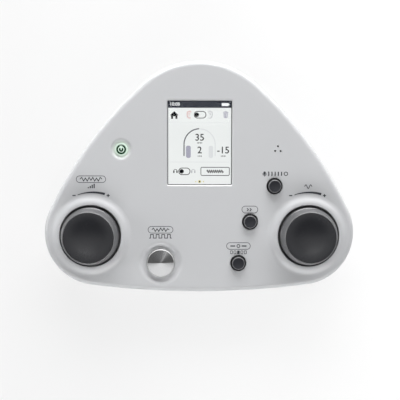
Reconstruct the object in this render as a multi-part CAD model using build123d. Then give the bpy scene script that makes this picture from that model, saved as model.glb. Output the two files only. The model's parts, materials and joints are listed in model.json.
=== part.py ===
from build123d import *
import math
import os

# Screening audiometer: a desk instrument with a rounded-triangle face that slopes up to the rear.
# Lengths are in millimetres. X points right, Y to the rear and Z up. The origin lies under the
# middle of the case, on the surface that the instrument stands on.
# A panel place is (across, up the slope), and a panel height is measured square out of the face.

# Outline of the face: a tip arc at the rear, two long flanks, two corner arcs and a long front arc
rear_reach = 106.7
front_reach = 72.0
tip_radius = 64.5
flank_radius = 321.0
corner_radius = 41.2
front_radius = 657.0
corner_spread = 78.9

# Attitude of the face: its slope in degrees, and its height over the floor at the panel's zero
panel_slope = 5.5
panel_height = 34.0

# Clearances
press_gap = 0.3
slide_gap = 0.15
running_gap = 0.05
seat_gap = 0.1
overrun = 1.0

# Upper cover
cover_depth = 12.0
cover_wall = 2.6
edge_radius = 4.0
hole_bevel = 0.3
boss_bore_depth = 8.0

# Lower cover: its rim sits in from the outline by a shadow gap, and its sides taper to the base
seam_gap = 0.6
seam_inset = 0.5
base_inset = 6.0
base_bevel = 2.0
base_wall = 2.5
base_lift = 2.0
side_wall = 2.5
tongue_height = 2.5
tongue_wall = 1.2
tongue_root = 3.0

# Cable bay under the rear of the cover
bay_depth = 31.0
bay_wall = 3.0
soffit_wall = 2.4

# Case screws, put in from below, and the posts that they join
case_screw_radius = 1.5
case_screw_length = 10.0
case_head_radius = 2.8
case_head_height = 2.2
case_boss_radius = 3.6
case_post_radius = 4.6
case_web = 3.0
boss_drop = 14.0
front_post_spread = 60.0
front_post_place = -58.0
flank_post_spread = 84.0
flank_post_place = 14.0
rear_post_spread = 44.0
rear_post_place = 62.0

# Small screws of the boards, the display bracket, the doors and the connector plate
small_screw_radius = 1.0
small_screw_length = 5.0
small_head_radius = 1.9
small_head_height = 1.3
small_boss_radius = 2.8
slot_width = 0.6
slot_depth = 0.7

# Dials: a well with a raised collar in the cover, and a skirt with a cap let into it
dial_spread = 84.3
dial_place = -27.8
well_depth = 2.0
well_wall = 2.4
collar_height = 2.2
collar_round = 0.7
collar_run = 8.35
collar_bend_share = 0.5
skirt_radius = 22.1
skirt_clearance = 1.55
skirt_lift = 0.4
skirt_band_top = 6.7
skirt_step = 0.3
skirt_wall = 2.0
dial_top = 16.0
skirt_taper = 2.2
rim_width = 0.65
rim_edge = 0.3
cap_seat_depth = 2.0
cap_dish = 1.3
cap_bend_share = 0.42
ceiling_wall = 1.8
hub_radius = 6.4
hub_lift = 0.6
clip_wall = 0.6
clip_height = 3.0

# Encoders under the dials
encoder_width = 12.6
encoder_length = 13.4
bushing_radius = 3.5
bushing_rise = 4.6
shaft_radius = 3.0
shaft_flat = 2.4
shaft_flange_radius = 5.0
shaft_flange_height = 1.2
encoder_cavity_height = 4.0
encoder_top_wall = 1.5
nut_radius = 5.5
nut_height = 2.0
washer_height = 0.5

# Control board under the face: its top lies this far below the panel
board_drop = 11.4
board_thickness = 1.6
board_half_width = 100.0
board_front = -54.0
board_rear = -2.0
wing_inner = 38.5
wing_outer = 71.0
wing_rear = 50.0
inner_boss_spread = 50.0
inner_boss_place = -44.0
wing_boss_spread = 65.0
wing_boss_place = 26.0
middle_boss_place = -12.0

# Push button for the test tone
front_key_spread = 30.1
front_key_place = -49.1
dimple_radius = 17.6
dimple_floor_radius = 11.4
dimple_depth = 1.8
dimple_wall = 2.2
dimple_bend_share = 0.6
stimulus_radius = 10.75
stimulus_rise = 0.9
stimulus_cone = 0.7
stimulus_bevel = 0.5
stimulus_wall = 1.0
stimulus_travel = 0.8
stimulus_flange_overlap = 1.4
stimulus_flange_height = 1.3
stimulus_stem_radius = 2.5
stimulus_switch_width = 9.0

# Round keys
talk_key_spread = 57.9
talk_key_place = 10.75
shift_key_spread = 39.1
shift_key_place = -16.9
key_radius = 5.85
key_shoulder = 0.6
key_lip_radius = 4.75
key_lip = 2.75
key_face_radius = 4.45
key_rise = 3.0
key_dish = 0.5
key_travel = 1.2
key_flange_overlap = 1.2
key_flange_height = 1.2
key_stem_radius = 1.9
key_switch_width = 7.0
switch_height = 4.2
switch_floor = 1.2
switch_corner = 0.6

# Power button and lamp
rear_key_spread = 60.3
rear_key_place = 39.1
power_dimple_radius = 9.0
power_dimple_floor_radius = 5.1
power_dimple_depth = 1.25
power_bend_share = 0.5
power_radius = 4.6
power_rise = 0.7
power_travel = 0.6
power_crown = 0.25
power_edge = 0.35
lamp_width = 1.6
lamp_height = 1.1

# Microphone behind three small holes
mic_holes = 3
mic_hole_radius = 0.75
mic_pitch_radius = 2.45
mic_radius = 3.4
mic_height = 3.0
mic_air = 1.4
boot_wall = 1.8
boot_base = 0.8
boot_ring_wall = 1.2
boot_ring_height = 3.4

# Display: window in the cover, gasket, touch panel, module and the bracket that presses them up
window_width = 49.6
window_length = 64.8
window_corner = 0.8
window_place = 44.0
window_lip = 0.9
window_land = 1.5
gasket_reveal = 0.55
gasket_height = 0.5
glass_border = 3.2
glass_height = 1.0
module_height = 2.6
pocket_gap = 0.6
bracket_height = 1.4
bracket_frame = 8.0
bracket_ear = 3.3
bracket_boss_place = 28.0
bracket_screw_length = 4.0

# Connector plate and its jacks, in the rear wall of the cable bay
plate_half_width = 42.2
plate_height = 18.0
plate_thickness = 1.5
plate_screw_spread = 39.4
plate_window_half_width = 36.6
plate_window_height = 14.0
jack_height = 15.5
inner_jack_spread = 14.8
outer_jack_spread = 30.2
jack_bore_radius = 3.25
jack_bore_depth = 31.0
jack_body_width = 11.0
jack_body_length = 27.8
sleeve_radius = 4.5
sleeve_rise = 3.0
jack_nut_radius = 6.6
jack_nut_height = 2.0
usb_width = 9.0
usb_height = 3.3
usb_wall = 0.35
usb_depth = 6.6
usb_length = 9.0
usb_tongue_length = 8.0
usb_tongue_width = 6.6
usb_tongue_height = 0.7

# Main board on the floor of the case
main_half_width = 37.0
main_length = 51.0
main_plate_gap = 3.8
main_standoff_spread = 33.0
main_standoff_inset = 6.0
main_standoff_jack_gap = 5.5
chip_height = 1.5
chip_width = 12.0
chip_spread = 16.0
chip_socket_gap = 3.0
chip_jack_gap = 4.0
capacitors = 3
capacitor_radius = 3.0
capacitor_height = 7.0
capacitor_pitch = 7.5

# Flat ribbons and their sockets
ribbon_thickness = 0.3
ribbon_width = 16.0
ribbon_bend = 1.5
ribbon_reach = 3.0
ribbon_lead = 4.5
ribbon_drop_share = 0.33
socket_width = 20.0
socket_length = 4.0
socket_height = 3.0
display_ribbon_inset = 14.0
board_ribbon_spread = 20.0

# Battery, its bay in the floor and its door
battery_width = 60.0
battery_length = 36.0
battery_height = 10.4
battery_edge = 2.0
battery_board_gap = 9.0
battery_gap = 1.0
door_ledge = 4.0
door_thickness = 1.8
bay_rib_wall = 1.2
bay_rib_height = 3.5
door_boss_height = 4.6
door_bore_depth = 3.2
door_screw_length = 2.4
contact_thickness = 0.3
contact_width = 6.0
contact_spread = 15.0
contact_reach = 3.0

# Rubber feet
foot_radius = 6.0
foot_sunk = 0.8
foot_edge = 0.6
front_foot_spread = 76.0
front_foot_place = -59.0
rear_foot_spread = 36.0
rear_foot_place = 38.0

# Worked out from the sizes above
lean = math.radians(panel_slope)
front_most = edge_radius * (math.cos(lean) + math.sin(lean) - 1) - front_reach * math.cos(lean)
rear_most = rear_reach * math.cos(lean) + cover_depth * math.sin(lean)
panel_back = -(front_most + rear_most) / 2
case_rear = panel_back + rear_most
seam_drop = cover_depth + seam_gap
panel_plane = Plane(
    origin=(0, panel_back, panel_height),
    x_dir=(1, 0, 0),
    z_dir=(0, -math.sin(lean), math.cos(lean)),
)
BASE = (Align.CENTER, Align.CENTER, Align.MIN)
SIDES = (("left", -1), ("right", 1))
well_radius = skirt_radius + skirt_clearance
collar_foot = well_radius + collar_run
rim_radius = skirt_radius - skirt_taper
well_under = -(well_depth + well_wall)
board_top = -board_drop
board_under = board_top - board_thickness
switch_top = board_top + switch_height
switch_bottom = board_top + switch_floor
floor_top = base_lift + base_wall
bay_face = case_rear - bay_depth
plate_inner = bay_face - plate_thickness
jack_bottom = jack_height - jack_body_width / 2
jack_front = plate_inner - jack_body_length
main_rear = plate_inner - main_plate_gap
main_front = main_rear - main_length
main_standoff_front = main_front + main_standoff_inset
main_standoff_rear = jack_front - main_standoff_jack_gap
socket_rear = main_front + 2 * socket_length
chip_front = socket_rear + chip_socket_gap
chip_rear = jack_front - chip_jack_gap
chip_row = (chip_front + chip_rear) / 2
main_under = jack_bottom - board_thickness
door_top = base_lift + door_thickness
battery_top = door_top + battery_height
battery_rear = main_front - battery_board_gap
battery_middle = battery_rear - battery_length / 2
stimulus_hole_radius = stimulus_radius + press_gap
key_hole_radius = key_radius + press_gap
power_hole_radius = power_radius + press_gap
encoder_hole_radius = bushing_radius + seat_gap
stimulus_under = -(dimple_depth + dimple_wall)
power_under = -(power_dimple_depth + cover_wall)
cap_seat_radius = rim_radius - rim_width
cap_seat_floor = dial_top - cap_seat_depth
dial_ceiling = cap_seat_floor - ceiling_wall
bushing_top = well_under + bushing_rise + well_wall
hub_bottom = bushing_top + hub_lift
shaft_top = dial_ceiling
mic_face = -cover_wall - mic_air
glass_width = window_width + 2 * glass_border
glass_length = window_length + 2 * glass_border
glass_top = -window_land - gasket_height
module_top = glass_top - glass_height
bracket_top = module_top - module_height
bracket_boss_spread = glass_width / 2 + pocket_gap + bracket_ear + press_gap
display_ribbon_spread = glass_width / 2 - display_ribbon_inset
dial_places = {side: (sign * dial_spread, dial_place) for side, sign in SIDES}
stimulus_place = (-front_key_spread, front_key_place)
power_place = (-rear_key_spread, rear_key_place)
mic_place = (rear_key_spread, rear_key_place)
key_places = {
    "talk_button": (talk_key_spread, talk_key_place),
    "shift_button": (shift_key_spread, shift_key_place),
    "store_button": (front_key_spread, front_key_place),
}
case_places = (
    (0, front_post_place),
    (front_post_spread, front_post_place),
    (-front_post_spread, front_post_place),
    (flank_post_spread, flank_post_place),
    (-flank_post_spread, flank_post_place),
    (rear_post_spread, rear_post_place),
    (-rear_post_spread, rear_post_place),
)
board_places = (
    (inner_boss_spread, inner_boss_place),
    (-inner_boss_spread, inner_boss_place),
    (wing_boss_spread, wing_boss_place),
    (-wing_boss_spread, wing_boss_place),
    (0, middle_boss_place),
)
bracket_places = tuple(
    (x_sign * bracket_boss_spread, window_place + y_sign * bracket_boss_place)
    for x_sign in (-1, 1)
    for y_sign in (-1, 1)
)
jack_spreads = {
    "left_phone_jack": -outer_jack_spread,
    "right_phone_jack": -inner_jack_spread,
    "bone_jack": inner_jack_spread,
    "response_jack": outer_jack_spread,
}
standoff_places = tuple(
    (sign * main_standoff_spread, along)
    for sign in (-1, 1)
    for along in (main_standoff_front, main_standoff_rear)
)
foot_places = tuple(
    (sign * spread, along)
    for sign in (-1, 1)
    for spread, along in (
        (front_foot_spread, front_foot_place),
        (rear_foot_spread, rear_foot_place),
    )
)
door_width = battery_width + 2 * (battery_gap + door_ledge)
door_length = battery_length + 2 * (battery_gap + door_ledge)
door_screw_reach = (battery_length + door_ledge) / 2 + battery_gap


class Profile:
    """A closed outline in radius and height, drawn edge by edge and turned about the Z axis."""

    def __init__(self, radius, height):
        self.start = Vector(radius, 0, height)
        self.last = self.start
        self.edges = []

    def line(self, radius, height):
        """A straight edge to the given point."""
        point = Vector(radius, 0, height)
        self.edges.append(Edge.make_line(self.last, point))
        self.last = point
        return self

    def rounded(self, radius, height, corner_r, corner_z):
        """A quarter round to the given point, bulging towards the given corner."""
        point = Vector(radius, 0, height)
        corner = Vector(corner_r, 0, corner_z)
        centre = self.last + point - corner
        middle = centre + (corner - centre) * math.sqrt(0.5)
        self.edges.append(Edge.make_three_point_arc(self.last, middle, point))
        self.last = point
        return self

    def crowned(self, height):
        """A round dome or dish from the last point to a height on the axis."""
        reach, rise = self.last.X, height - self.last.Z
        ball = (reach**2 + rise**2) / (2 * rise)
        half = math.asin(reach / ball) / 2
        middle = Vector(ball * math.sin(half), 0, height - ball + ball * math.cos(half))
        point = Vector(0, 0, height)
        self.edges.append(Edge.make_three_point_arc(self.last, middle, point))
        self.last = point
        return self

    def wave(self, radius, height, bend_share):
        """Two arcs that leave and arrive level, and meet at a share of the run."""
        begin, end = self.last, Vector(radius, 0, height)
        run = end.X - begin.X
        half_turn = math.atan2(end.Z - begin.Z, abs(run)) * math.copysign(1, run)
        meeting = begin + (end - begin) * bend_share
        for start, share, way in ((begin, bend_share, 1), (end, 1 - bend_share, -1)):
            arc_radius = share * run / math.sin(2 * half_turn)
            reach = Vector(math.sin(half_turn), 0, 1 - math.cos(half_turn)) * arc_radius
            middle = start + reach * way
            ends = (start, meeting) if way > 0 else (meeting, start)
            self.edges.append(Edge.make_three_point_arc(ends[0], middle, ends[1]))
        self.last = end
        return self

    def turned(self):
        """The solid that the closed outline sweeps in a full turn."""
        self.line(self.start.X, self.start.Z)
        return revolve(Face(Wire(self.edges)), Axis.Z)


def flipped(point):
    """The point's mirror image across the middle of the case."""
    return Vector(-point.X, point.Y)


def arc_between(centre, radius, begin, end):
    """An arc about a centre, from one direction to another."""
    middle = (begin + end).normalized()
    return Edge.make_three_point_arc(
        centre + begin * radius, centre + middle * radius, centre + end * radius
    )


def outline(inset):
    """The rounded triangle of the face, drawn in by an inset all round."""
    tip = Vector(0, rear_reach - tip_radius)
    front = Vector(0, front_radius - front_reach)
    corner_fall = math.sqrt((front_radius - corner_radius) ** 2 - corner_spread**2)
    corner = Vector(corner_spread, front.Y - corner_fall)
    to_tip = flank_radius - tip_radius
    to_corner = flank_radius - corner_radius
    span = (corner - tip).length
    along = (to_tip**2 - to_corner**2 + span**2) / (2 * span)
    aside = math.sqrt(to_tip**2 - along**2)
    slant = (corner - tip).normalized()
    flank = tip + slant * along + Vector(slant.Y, -slant.X) * aside
    at_tip = (tip - flank).normalized()
    at_corner = (corner - flank).normalized()
    at_front = (corner - front).normalized()
    edges = [
        arc_between(tip, tip_radius - inset, at_tip, flipped(at_tip)),
        arc_between(flipped(flank), flank_radius - inset, flipped(at_tip), flipped(at_corner)),
        arc_between(flipped(corner), corner_radius - inset, flipped(at_corner), flipped(at_front)),
        arc_between(front, front_radius - inset, flipped(at_front), at_front),
        arc_between(corner, corner_radius - inset, at_front, at_corner),
        arc_between(flank, flank_radius - inset, at_corner, at_tip),
    ]
    return Face(Wire(edges))


def on_panel(shape):
    """Carries a shape from the panel's own frame to its place on the instrument."""
    return panel_plane.location * shape


def post(radius, bottom, top, place=(0, 0)):
    """A round post between two heights."""
    return Pos(place[0], place[1], bottom) * Cylinder(radius, top - bottom, align=BASE)


def slab(width, length, bottom, top, place=(0, 0), corner=0):
    """A rectangular slab between two heights, with its upright edges rounded if asked."""
    base = RectangleRounded(width, length, corner) if corner else Rectangle(width, length)
    return Pos(place[0], place[1], bottom) * extrude(base, top - bottom)


def ring(outer, inner, bottom, top, place=(0, 0)):
    """A round tube between two heights."""
    return post(outer, bottom, top, place) - post(inner, bottom - overrun, top + overrun, place)


def rod(radius, front, rear, across, height):
    """A round rod that runs to the rear."""
    turned = Rot(-90, 0, 0) * Cylinder(radius, rear - front, align=BASE)
    return Pos(across, front, height) * turned


def bevel_hole(radius, place):
    """The cutter for a round hole through the face, with a small bevel at its mouth."""
    mouth = Cone(radius, radius + hole_bevel + overrun, hole_bevel + overrun, align=BASE)
    return post(radius, -cover_wall - overrun, overrun, place) + Pos(*place, -hole_bevel) * mouth


def screw(shank_radius, length, head_radius, head_height, place, seat):
    """A screw that points up, with its head under the seat and a cross slot in it."""
    body = post(head_radius, seat - head_height, seat, place)
    body += post(shank_radius, seat - slot_depth / 2, seat + length, place)
    foot = seat - head_height
    for width, long in ((slot_width, head_radius), (head_radius, slot_width)):
        body -= slab(width, long, foot - overrun, foot + slot_depth, place)
    return body


def small_screw(place, seat, length=small_screw_length):
    """One of the small screws, pointing up."""
    return screw(small_screw_radius, length, small_head_radius, small_head_height, place, seat)


def dial_plug():
    """The part of the face round one dial: the raised collar and the well."""
    plug = Profile(encoder_hole_radius, -well_depth)
    plug.line(well_radius, -well_depth)
    plug.line(well_radius, collar_height - collar_round)
    plug.rounded(well_radius + collar_round, collar_height, well_radius, collar_height)
    plug.wave(collar_foot, 0, collar_bend_share)
    plug.line(collar_foot, -cover_wall)
    plug.line(well_radius + well_wall, -cover_wall)
    plug.line(well_radius + well_wall, well_under)
    plug.line(encoder_hole_radius, well_under)
    return plug.turned()


def dimple_plug(hole_radius, floor_radius, edge, depth, under, share):
    """The part of the face round a button that sits in a dimple."""
    plug = Profile(hole_radius, -depth)
    plug.line(floor_radius, -depth)
    plug.wave(edge, 0, share)
    plug.line(edge, -cover_wall)
    plug.line(floor_radius + cover_wall, under)
    plug.line(hole_radius, under)
    return plug.turned()


def set_in(body, plug, radius, place):
    """Lets a turned plug into the face."""
    body -= post(radius, -cover_wall - overrun, overrun, place)
    return body + Pos(*place) * plug


def window_cut():
    """The cutter for the display window, with its lip and the pocket behind it."""
    spread = window_lip + overrun
    mouth = loft(
        [
            Pos(0, 0, -window_lip) * RectangleRounded(window_width, window_length, window_corner),
            Pos(0, 0, overrun)
            * RectangleRounded(
                window_width + 2 * spread, window_length + 2 * spread, window_corner + spread
            ),
        ],
        ruled=True,
    )
    through = slab(window_width, window_length, -cover_wall - overrun, overrun, corner=window_corner)
    pocket = slab(
        glass_width + 2 * pocket_gap,
        glass_length + 2 * pocket_gap,
        -cover_wall - overrun,
        -window_land,
    )
    return Pos(0, window_place) * (mouth + through + pocket)


def upper_cover():
    """The top casing: the face with everything let into it, its edge wall and its bosses."""
    body = extrude(Pos(0, 0, -cover_depth) * outline(0), cover_depth)
    top = body.faces().sort_by(Axis.Z)[-1]
    body = fillet(top.edges(), edge_radius)
    hollow = Pos(0, 0, -cover_depth) * outline(cover_wall)
    body -= extrude(hollow, cover_depth - cover_wall)
    for place in dial_places.values():
        body = set_in(body, dial_plug(), collar_foot, place)
    plug = dimple_plug(
        stimulus_hole_radius,
        dimple_floor_radius,
        dimple_radius,
        dimple_depth,
        stimulus_under,
        dimple_bend_share,
    )
    body = set_in(body, plug, dimple_radius, stimulus_place)
    plug = dimple_plug(
        power_hole_radius,
        power_dimple_floor_radius,
        power_dimple_radius,
        power_dimple_depth,
        power_under,
        power_bend_share,
    )
    body = set_in(body, plug, power_dimple_radius, power_place)
    for place in key_places.values():
        body -= bevel_hole(key_hole_radius, place)
    for turn in range(mic_holes):
        angle = math.pi / 2 + math.tau * turn / mic_holes
        place = (
            mic_place[0] + mic_pitch_radius * math.cos(angle),
            mic_place[1] + mic_pitch_radius * math.sin(angle),
        )
        body -= post(mic_hole_radius, -cover_wall - overrun, overrun, place)
    boot_outer = mic_radius + boot_wall + seat_gap
    body += ring(
        boot_outer + boot_ring_wall,
        boot_outer,
        -cover_wall - boot_ring_height,
        -cover_wall,
        mic_place,
    )
    body -= window_cut()
    for place in case_places:
        body += post(case_boss_radius, -boss_drop, -cover_wall, place)
        bore = case_screw_radius + running_gap
        body -= post(bore, -boss_drop - overrun, boss_bore_depth - boss_drop, place)
    for place in board_places:
        body += post(small_boss_radius, board_top, -cover_wall, place)
        bore = small_screw_radius + running_gap
        body -= post(bore, board_top - overrun, board_top + small_screw_length, place)
    for place in bracket_places:
        body += post(bracket_ear, bracket_top, -cover_wall, place)
        bore = small_screw_radius + running_gap
        body -= post(bore, bracket_top - overrun, -cover_wall, place)
    return on_panel(body)


def bay_block(front, drop):
    """Everything under the panel by a drop and behind a line, where the cable bay is."""
    rise = math.tan(lean)
    far = case_rear + bay_depth
    start = panel_back + drop * math.sin(lean)
    height = panel_height - drop * math.cos(lean)
    points = [
        (front, -overrun),
        (front, height + rise * (front - start)),
        (far, height + rise * (far - start)),
        (far, -overrun),
    ]
    side = Plane.YZ * make_face(Polyline(*points, close=True))
    reach = corner_spread + corner_radius
    return Pos(-reach, 0, 0) * extrude(side, 2 * reach)


def level(shape, height):
    """Lays a face flat at a height, under its own place in the case."""
    return Pos(0, panel_back + seam_drop * math.sin(lean), height) * shape


def lower_outside():
    """The lower casing as a solid block: tapering sides and a bevelled foot."""
    rim = on_panel(Pos(0, 0, -seam_drop) * outline(seam_inset))
    ankle = level(outline(base_inset), base_lift + base_bevel)
    sole = level(outline(base_inset + base_bevel), base_lift)
    return loft([rim, ankle, sole], ruled=True)


def lower_inside():
    """The hollow of the lower casing, before the cable bay takes its share."""
    rim = on_panel(Pos(0, 0, -seam_drop) * outline(seam_inset + side_wall))
    floor = level(outline(base_inset + base_bevel + side_wall), floor_top)
    return loft([rim, floor], ruled=True)


def tongue():
    """The raised lip that locates the upper cover."""
    outer = cover_wall + slide_gap
    height = tongue_height + tongue_root
    bottom = Pos(0, 0, -seam_drop - tongue_root)
    band = extrude(bottom * outline(outer), height)
    return on_panel(band - extrude(bottom * outline(outer + tongue_wall), height))


def plate_window():
    """The opening in the bay's wall behind the connector plate, and the plate's pocket."""
    depth = bay_face - plate_inner
    middle = (0, bay_face - depth / 2)
    pocket_bottom = jack_height - plate_height / 2 - seat_gap
    pocket = slab(
        2 * (plate_half_width + seat_gap),
        depth,
        pocket_bottom,
        jack_height + plate_height / 2 + seat_gap,
        middle,
    )
    opening = Pos(0, bay_face - bay_wall, 0) * slab(
        2 * plate_window_half_width,
        2 * bay_wall,
        jack_height - plate_window_height / 2,
        jack_height + plate_window_height / 2,
    )
    return pocket + opening


def lower_cover():
    """The bottom casing: tapering wall, floor, cable bay, posts, battery bay and screw holes."""
    outside = lower_outside()
    hollow = lower_inside() - bay_block(bay_face - bay_wall, seam_drop)
    body = outside - bay_block(bay_face, seam_drop + soffit_wall) - hollow
    body += tongue()
    deep = panel_height + rear_reach
    for place in case_places:
        pillar = on_panel(post(case_post_radius, -deep, -boss_drop, place))
        body += pillar & outside
    for place in standoff_places:
        body += post(small_boss_radius, floor_top, main_under, place)
    bay = (0, battery_middle)
    opening_width = battery_width + 2 * battery_gap
    opening_length = battery_length + 2 * battery_gap
    body += slab(
        opening_width + 2 * bay_rib_wall,
        opening_length + 2 * bay_rib_wall,
        floor_top,
        floor_top + bay_rib_height,
        bay,
    )
    body -= slab(
        opening_width, opening_length, base_lift - overrun, floor_top + bay_rib_height + overrun, bay
    )
    for sign in (-1, 1):
        place = (0, battery_middle + sign * door_screw_reach)
        body += post(small_boss_radius, door_top, door_top + door_boss_height, place)
    body -= slab(opening_width, opening_length, door_top, battery_top, bay)
    body -= slab(door_width, door_length, base_lift - overrun, door_top, bay)
    bore = small_screw_radius + running_gap
    for sign in (-1, 1):
        place = (0, battery_middle + sign * door_screw_reach)
        body -= post(bore, base_lift, door_top + door_bore_depth, place)
    for place in standoff_places:
        body -= post(bore, floor_top, main_under + overrun, place)
    body -= plate_window()
    for sign in (-1, 1):
        across = sign * plate_screw_spread
        body -= rod(bore, plate_inner - small_screw_length, plate_inner, across, jack_height)
    for place in foot_places:
        body -= post(foot_radius + seat_gap, base_lift - overrun, base_lift + foot_sunk, place)
    seat = -boss_drop - case_web
    for place in case_places:
        clear = post(case_screw_radius + seat_gap, seat - overrun, -boss_drop + overrun, place)
        counterbore = post(case_head_radius + press_gap, -deep, seat, place)
        body -= on_panel(clear + counterbore)
    return body


def case_screws():
    """The screws that join the two casings."""
    seat = -boss_drop - case_web
    screws = [
        screw(case_screw_radius, case_screw_length, case_head_radius, case_head_height, place, seat)
        for place in case_places
    ]
    return on_panel(Compound(children=screws))


def rubber_feet():
    """The feet, let into the base."""
    feet = []
    for place in foot_places:
        foot = Profile(0, 0).line(foot_radius - foot_edge, 0).line(foot_radius, foot_edge)
        foot.line(foot_radius, base_lift + foot_sunk).line(0, base_lift + foot_sunk)
        feet.append(Pos(*place) * foot.turned())
    return Compound(children=feet)


def dial_skirt():
    """A dial's ring: straight foot, tapered upper part, rim, and the hub inside."""
    bottom = skirt_lift - well_depth
    inner = skirt_radius - skirt_wall
    body = Profile(0, hub_bottom).line(hub_radius, hub_bottom).line(hub_radius, dial_ceiling)
    body.line(rim_radius - skirt_wall, dial_ceiling)
    body.line(inner, skirt_band_top)
    body.line(inner, bottom)
    body.line(skirt_radius - rim_edge, bottom)
    body.line(skirt_radius, bottom + rim_edge)
    body.line(skirt_radius, skirt_band_top - skirt_step)
    body.line(skirt_radius - skirt_step, skirt_band_top)
    body.line(rim_radius, dial_top - rim_edge)
    body.rounded(rim_radius - rim_edge, dial_top, rim_radius, dial_top)
    body.line(cap_seat_radius, dial_top)
    body.line(cap_seat_radius, cap_seat_floor)
    body.line(0, cap_seat_floor)
    return body.turned() - flatted(seat_gap, hub_bottom - overrun, shaft_top)


def flatted(gap, bottom, top):
    """The dial shaft's flatted end, or the bore for it where a gap is given."""
    radius = shaft_radius + gap
    cut = slab(2 * radius, 2 * radius, bottom - overrun, top + overrun, (0, shaft_flat + gap + radius))
    return post(radius, bottom, top) - cut


def dial_cap():
    """A dial's soft cap, dished for a finger."""
    radius = cap_seat_radius - seat_gap
    edge = radius - rim_edge
    body = Profile(0, cap_seat_floor).line(radius, cap_seat_floor).line(radius, dial_top - rim_edge)
    body.rounded(edge, dial_top, radius, dial_top)
    return body.wave(0, dial_top - cap_dish, cap_bend_share).turned()


def dial_clip():
    """The spring ring that closes a dial's hub on its shaft."""
    inner = hub_radius + running_gap
    return ring(inner + clip_wall, inner, hub_bottom, hub_bottom + clip_height)


def encoder_shaft():
    """An encoder's shaft, with the flange that keeps it in."""
    cavity_top = well_under - encoder_top_wall
    middle = cavity_top - encoder_cavity_height / 2
    body = post(shaft_radius, cavity_top - encoder_cavity_height + press_gap, hub_bottom)
    body += flatted(0, hub_bottom, shaft_top - press_gap)
    half = shaft_flange_height / 2
    return body + post(shaft_flange_radius, middle - half, middle + half)


def encoder_body():
    """An encoder's housing with its threaded bushing."""
    body = slab(encoder_width, encoder_length, board_top, well_under)
    body += post(bushing_radius, well_under, bushing_top)
    cavity_top = well_under - encoder_top_wall
    cavity = shaft_flange_radius + press_gap
    body -= post(cavity, cavity_top - encoder_cavity_height, cavity_top)
    return body - post(shaft_radius + running_gap, cavity_top - overrun, bushing_top + overrun)


def encoder_nut():
    """The washer and the hexagon nut that hold an encoder in its well."""
    hole = bushing_radius + running_gap
    washer = post(nut_radius, -well_depth, -well_depth + washer_height)
    bottom = -well_depth + washer_height
    nut = Pos(0, 0, bottom) * extrude(RegularPolygon(nut_radius, 6), nut_height)
    cut = post(hole, -well_depth - overrun, bottom + nut_height + overrun)
    return Compound(children=[washer - cut, nut - cut])


def stimulus_cap():
    """The turned metal cap of the tone button, with its shallow conical face."""
    bottom = stimulus_under - press_gap
    inner = stimulus_radius - stimulus_wall
    body = Profile(inner, bottom).line(stimulus_radius, bottom)
    body.line(stimulus_radius, stimulus_rise - stimulus_bevel)
    body.line(stimulus_radius - stimulus_bevel, stimulus_rise)
    body.line(0, stimulus_rise - stimulus_cone)
    body.line(0, stimulus_rise - stimulus_cone - stimulus_wall)
    body.line(inner, stimulus_rise - stimulus_cone - stimulus_wall)
    return body.turned()


def stimulus_carrier():
    """The plastic plunger inside the metal cap, with its stop flange and stem."""
    flange_top = stimulus_under - press_gap
    flange_bottom = flange_top - stimulus_flange_height
    top = stimulus_rise - stimulus_cone - stimulus_wall
    body = post(stimulus_radius - stimulus_wall - seat_gap, flange_top, top)
    body += post(stimulus_hole_radius + stimulus_flange_overlap, flange_bottom, flange_top)
    return body + post(stimulus_stem_radius, switch_top - stimulus_travel, flange_bottom)


def switch(width, stem_radius):
    """A push switch on the board, open at the top for its button's stem."""
    body = slab(width, width, board_top, switch_top, corner=switch_corner)
    return body - post(stem_radius + slide_gap, switch_bottom, switch_top + overrun)


def key_cap():
    """A round key: steep side, bevelled lip and dished face, with its stop flange and stem."""
    flange_top = -cover_wall - press_gap
    flange_bottom = flange_top - key_flange_height
    body = Profile(0, flange_bottom).line(key_hole_radius + key_flange_overlap, flange_bottom)
    body.line(key_hole_radius + key_flange_overlap, flange_top)
    body.line(key_radius, flange_top)
    body.line(key_radius, key_shoulder)
    body.line(key_lip_radius, key_lip)
    body.line(key_face_radius, key_rise)
    stem = post(key_stem_radius, switch_top - key_travel, flange_bottom)
    return body.crowned(key_rise - key_dish).turned() + stem


def power_button():
    """The translucent power button with its stop flange and stem."""
    flange_top = power_under - press_gap
    flange_bottom = flange_top - key_flange_height
    top = power_rise - power_dimple_depth
    body = Profile(0, flange_bottom).line(power_hole_radius + key_flange_overlap, flange_bottom)
    body.line(power_hole_radius + key_flange_overlap, flange_top)
    body.line(power_radius, flange_top)
    body.line(power_radius, top - power_edge)
    body.rounded(power_radius - power_edge, top, power_radius, top)
    stem = post(key_stem_radius, switch_top - power_travel, flange_bottom)
    return body.crowned(top + power_crown).turned() + stem


def power_lamp():
    """The small lamp on the board, beside the power switch."""
    off_side = key_switch_width / 2 + lamp_width
    return slab(lamp_width, lamp_width, board_top, board_top + lamp_height, (off_side, 0))


def microphone_boot():
    """The rubber boot that seals the microphone to the face."""
    outer = mic_radius + boot_wall
    bottom = mic_face - mic_height - boot_base
    body = post(outer, bottom, -cover_wall)
    body -= post(mic_radius, mic_face - mic_height, mic_face)
    return body - post(mic_pitch_radius + mic_hole_radius, mic_face - overrun / 2, 0)


def microphone_capsule():
    """The microphone itself."""
    return post(mic_radius, mic_face - mic_height, mic_face)


def display_gasket():
    """The dark foam frame between the window and the touch panel."""
    body = slab(glass_width, glass_length, glass_top, -window_land)
    opening = slab(
        window_width - 2 * gasket_reveal,
        window_length - 2 * gasket_reveal,
        glass_top - overrun,
        0,
    )
    return Pos(0, window_place) * (body - opening)


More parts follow.
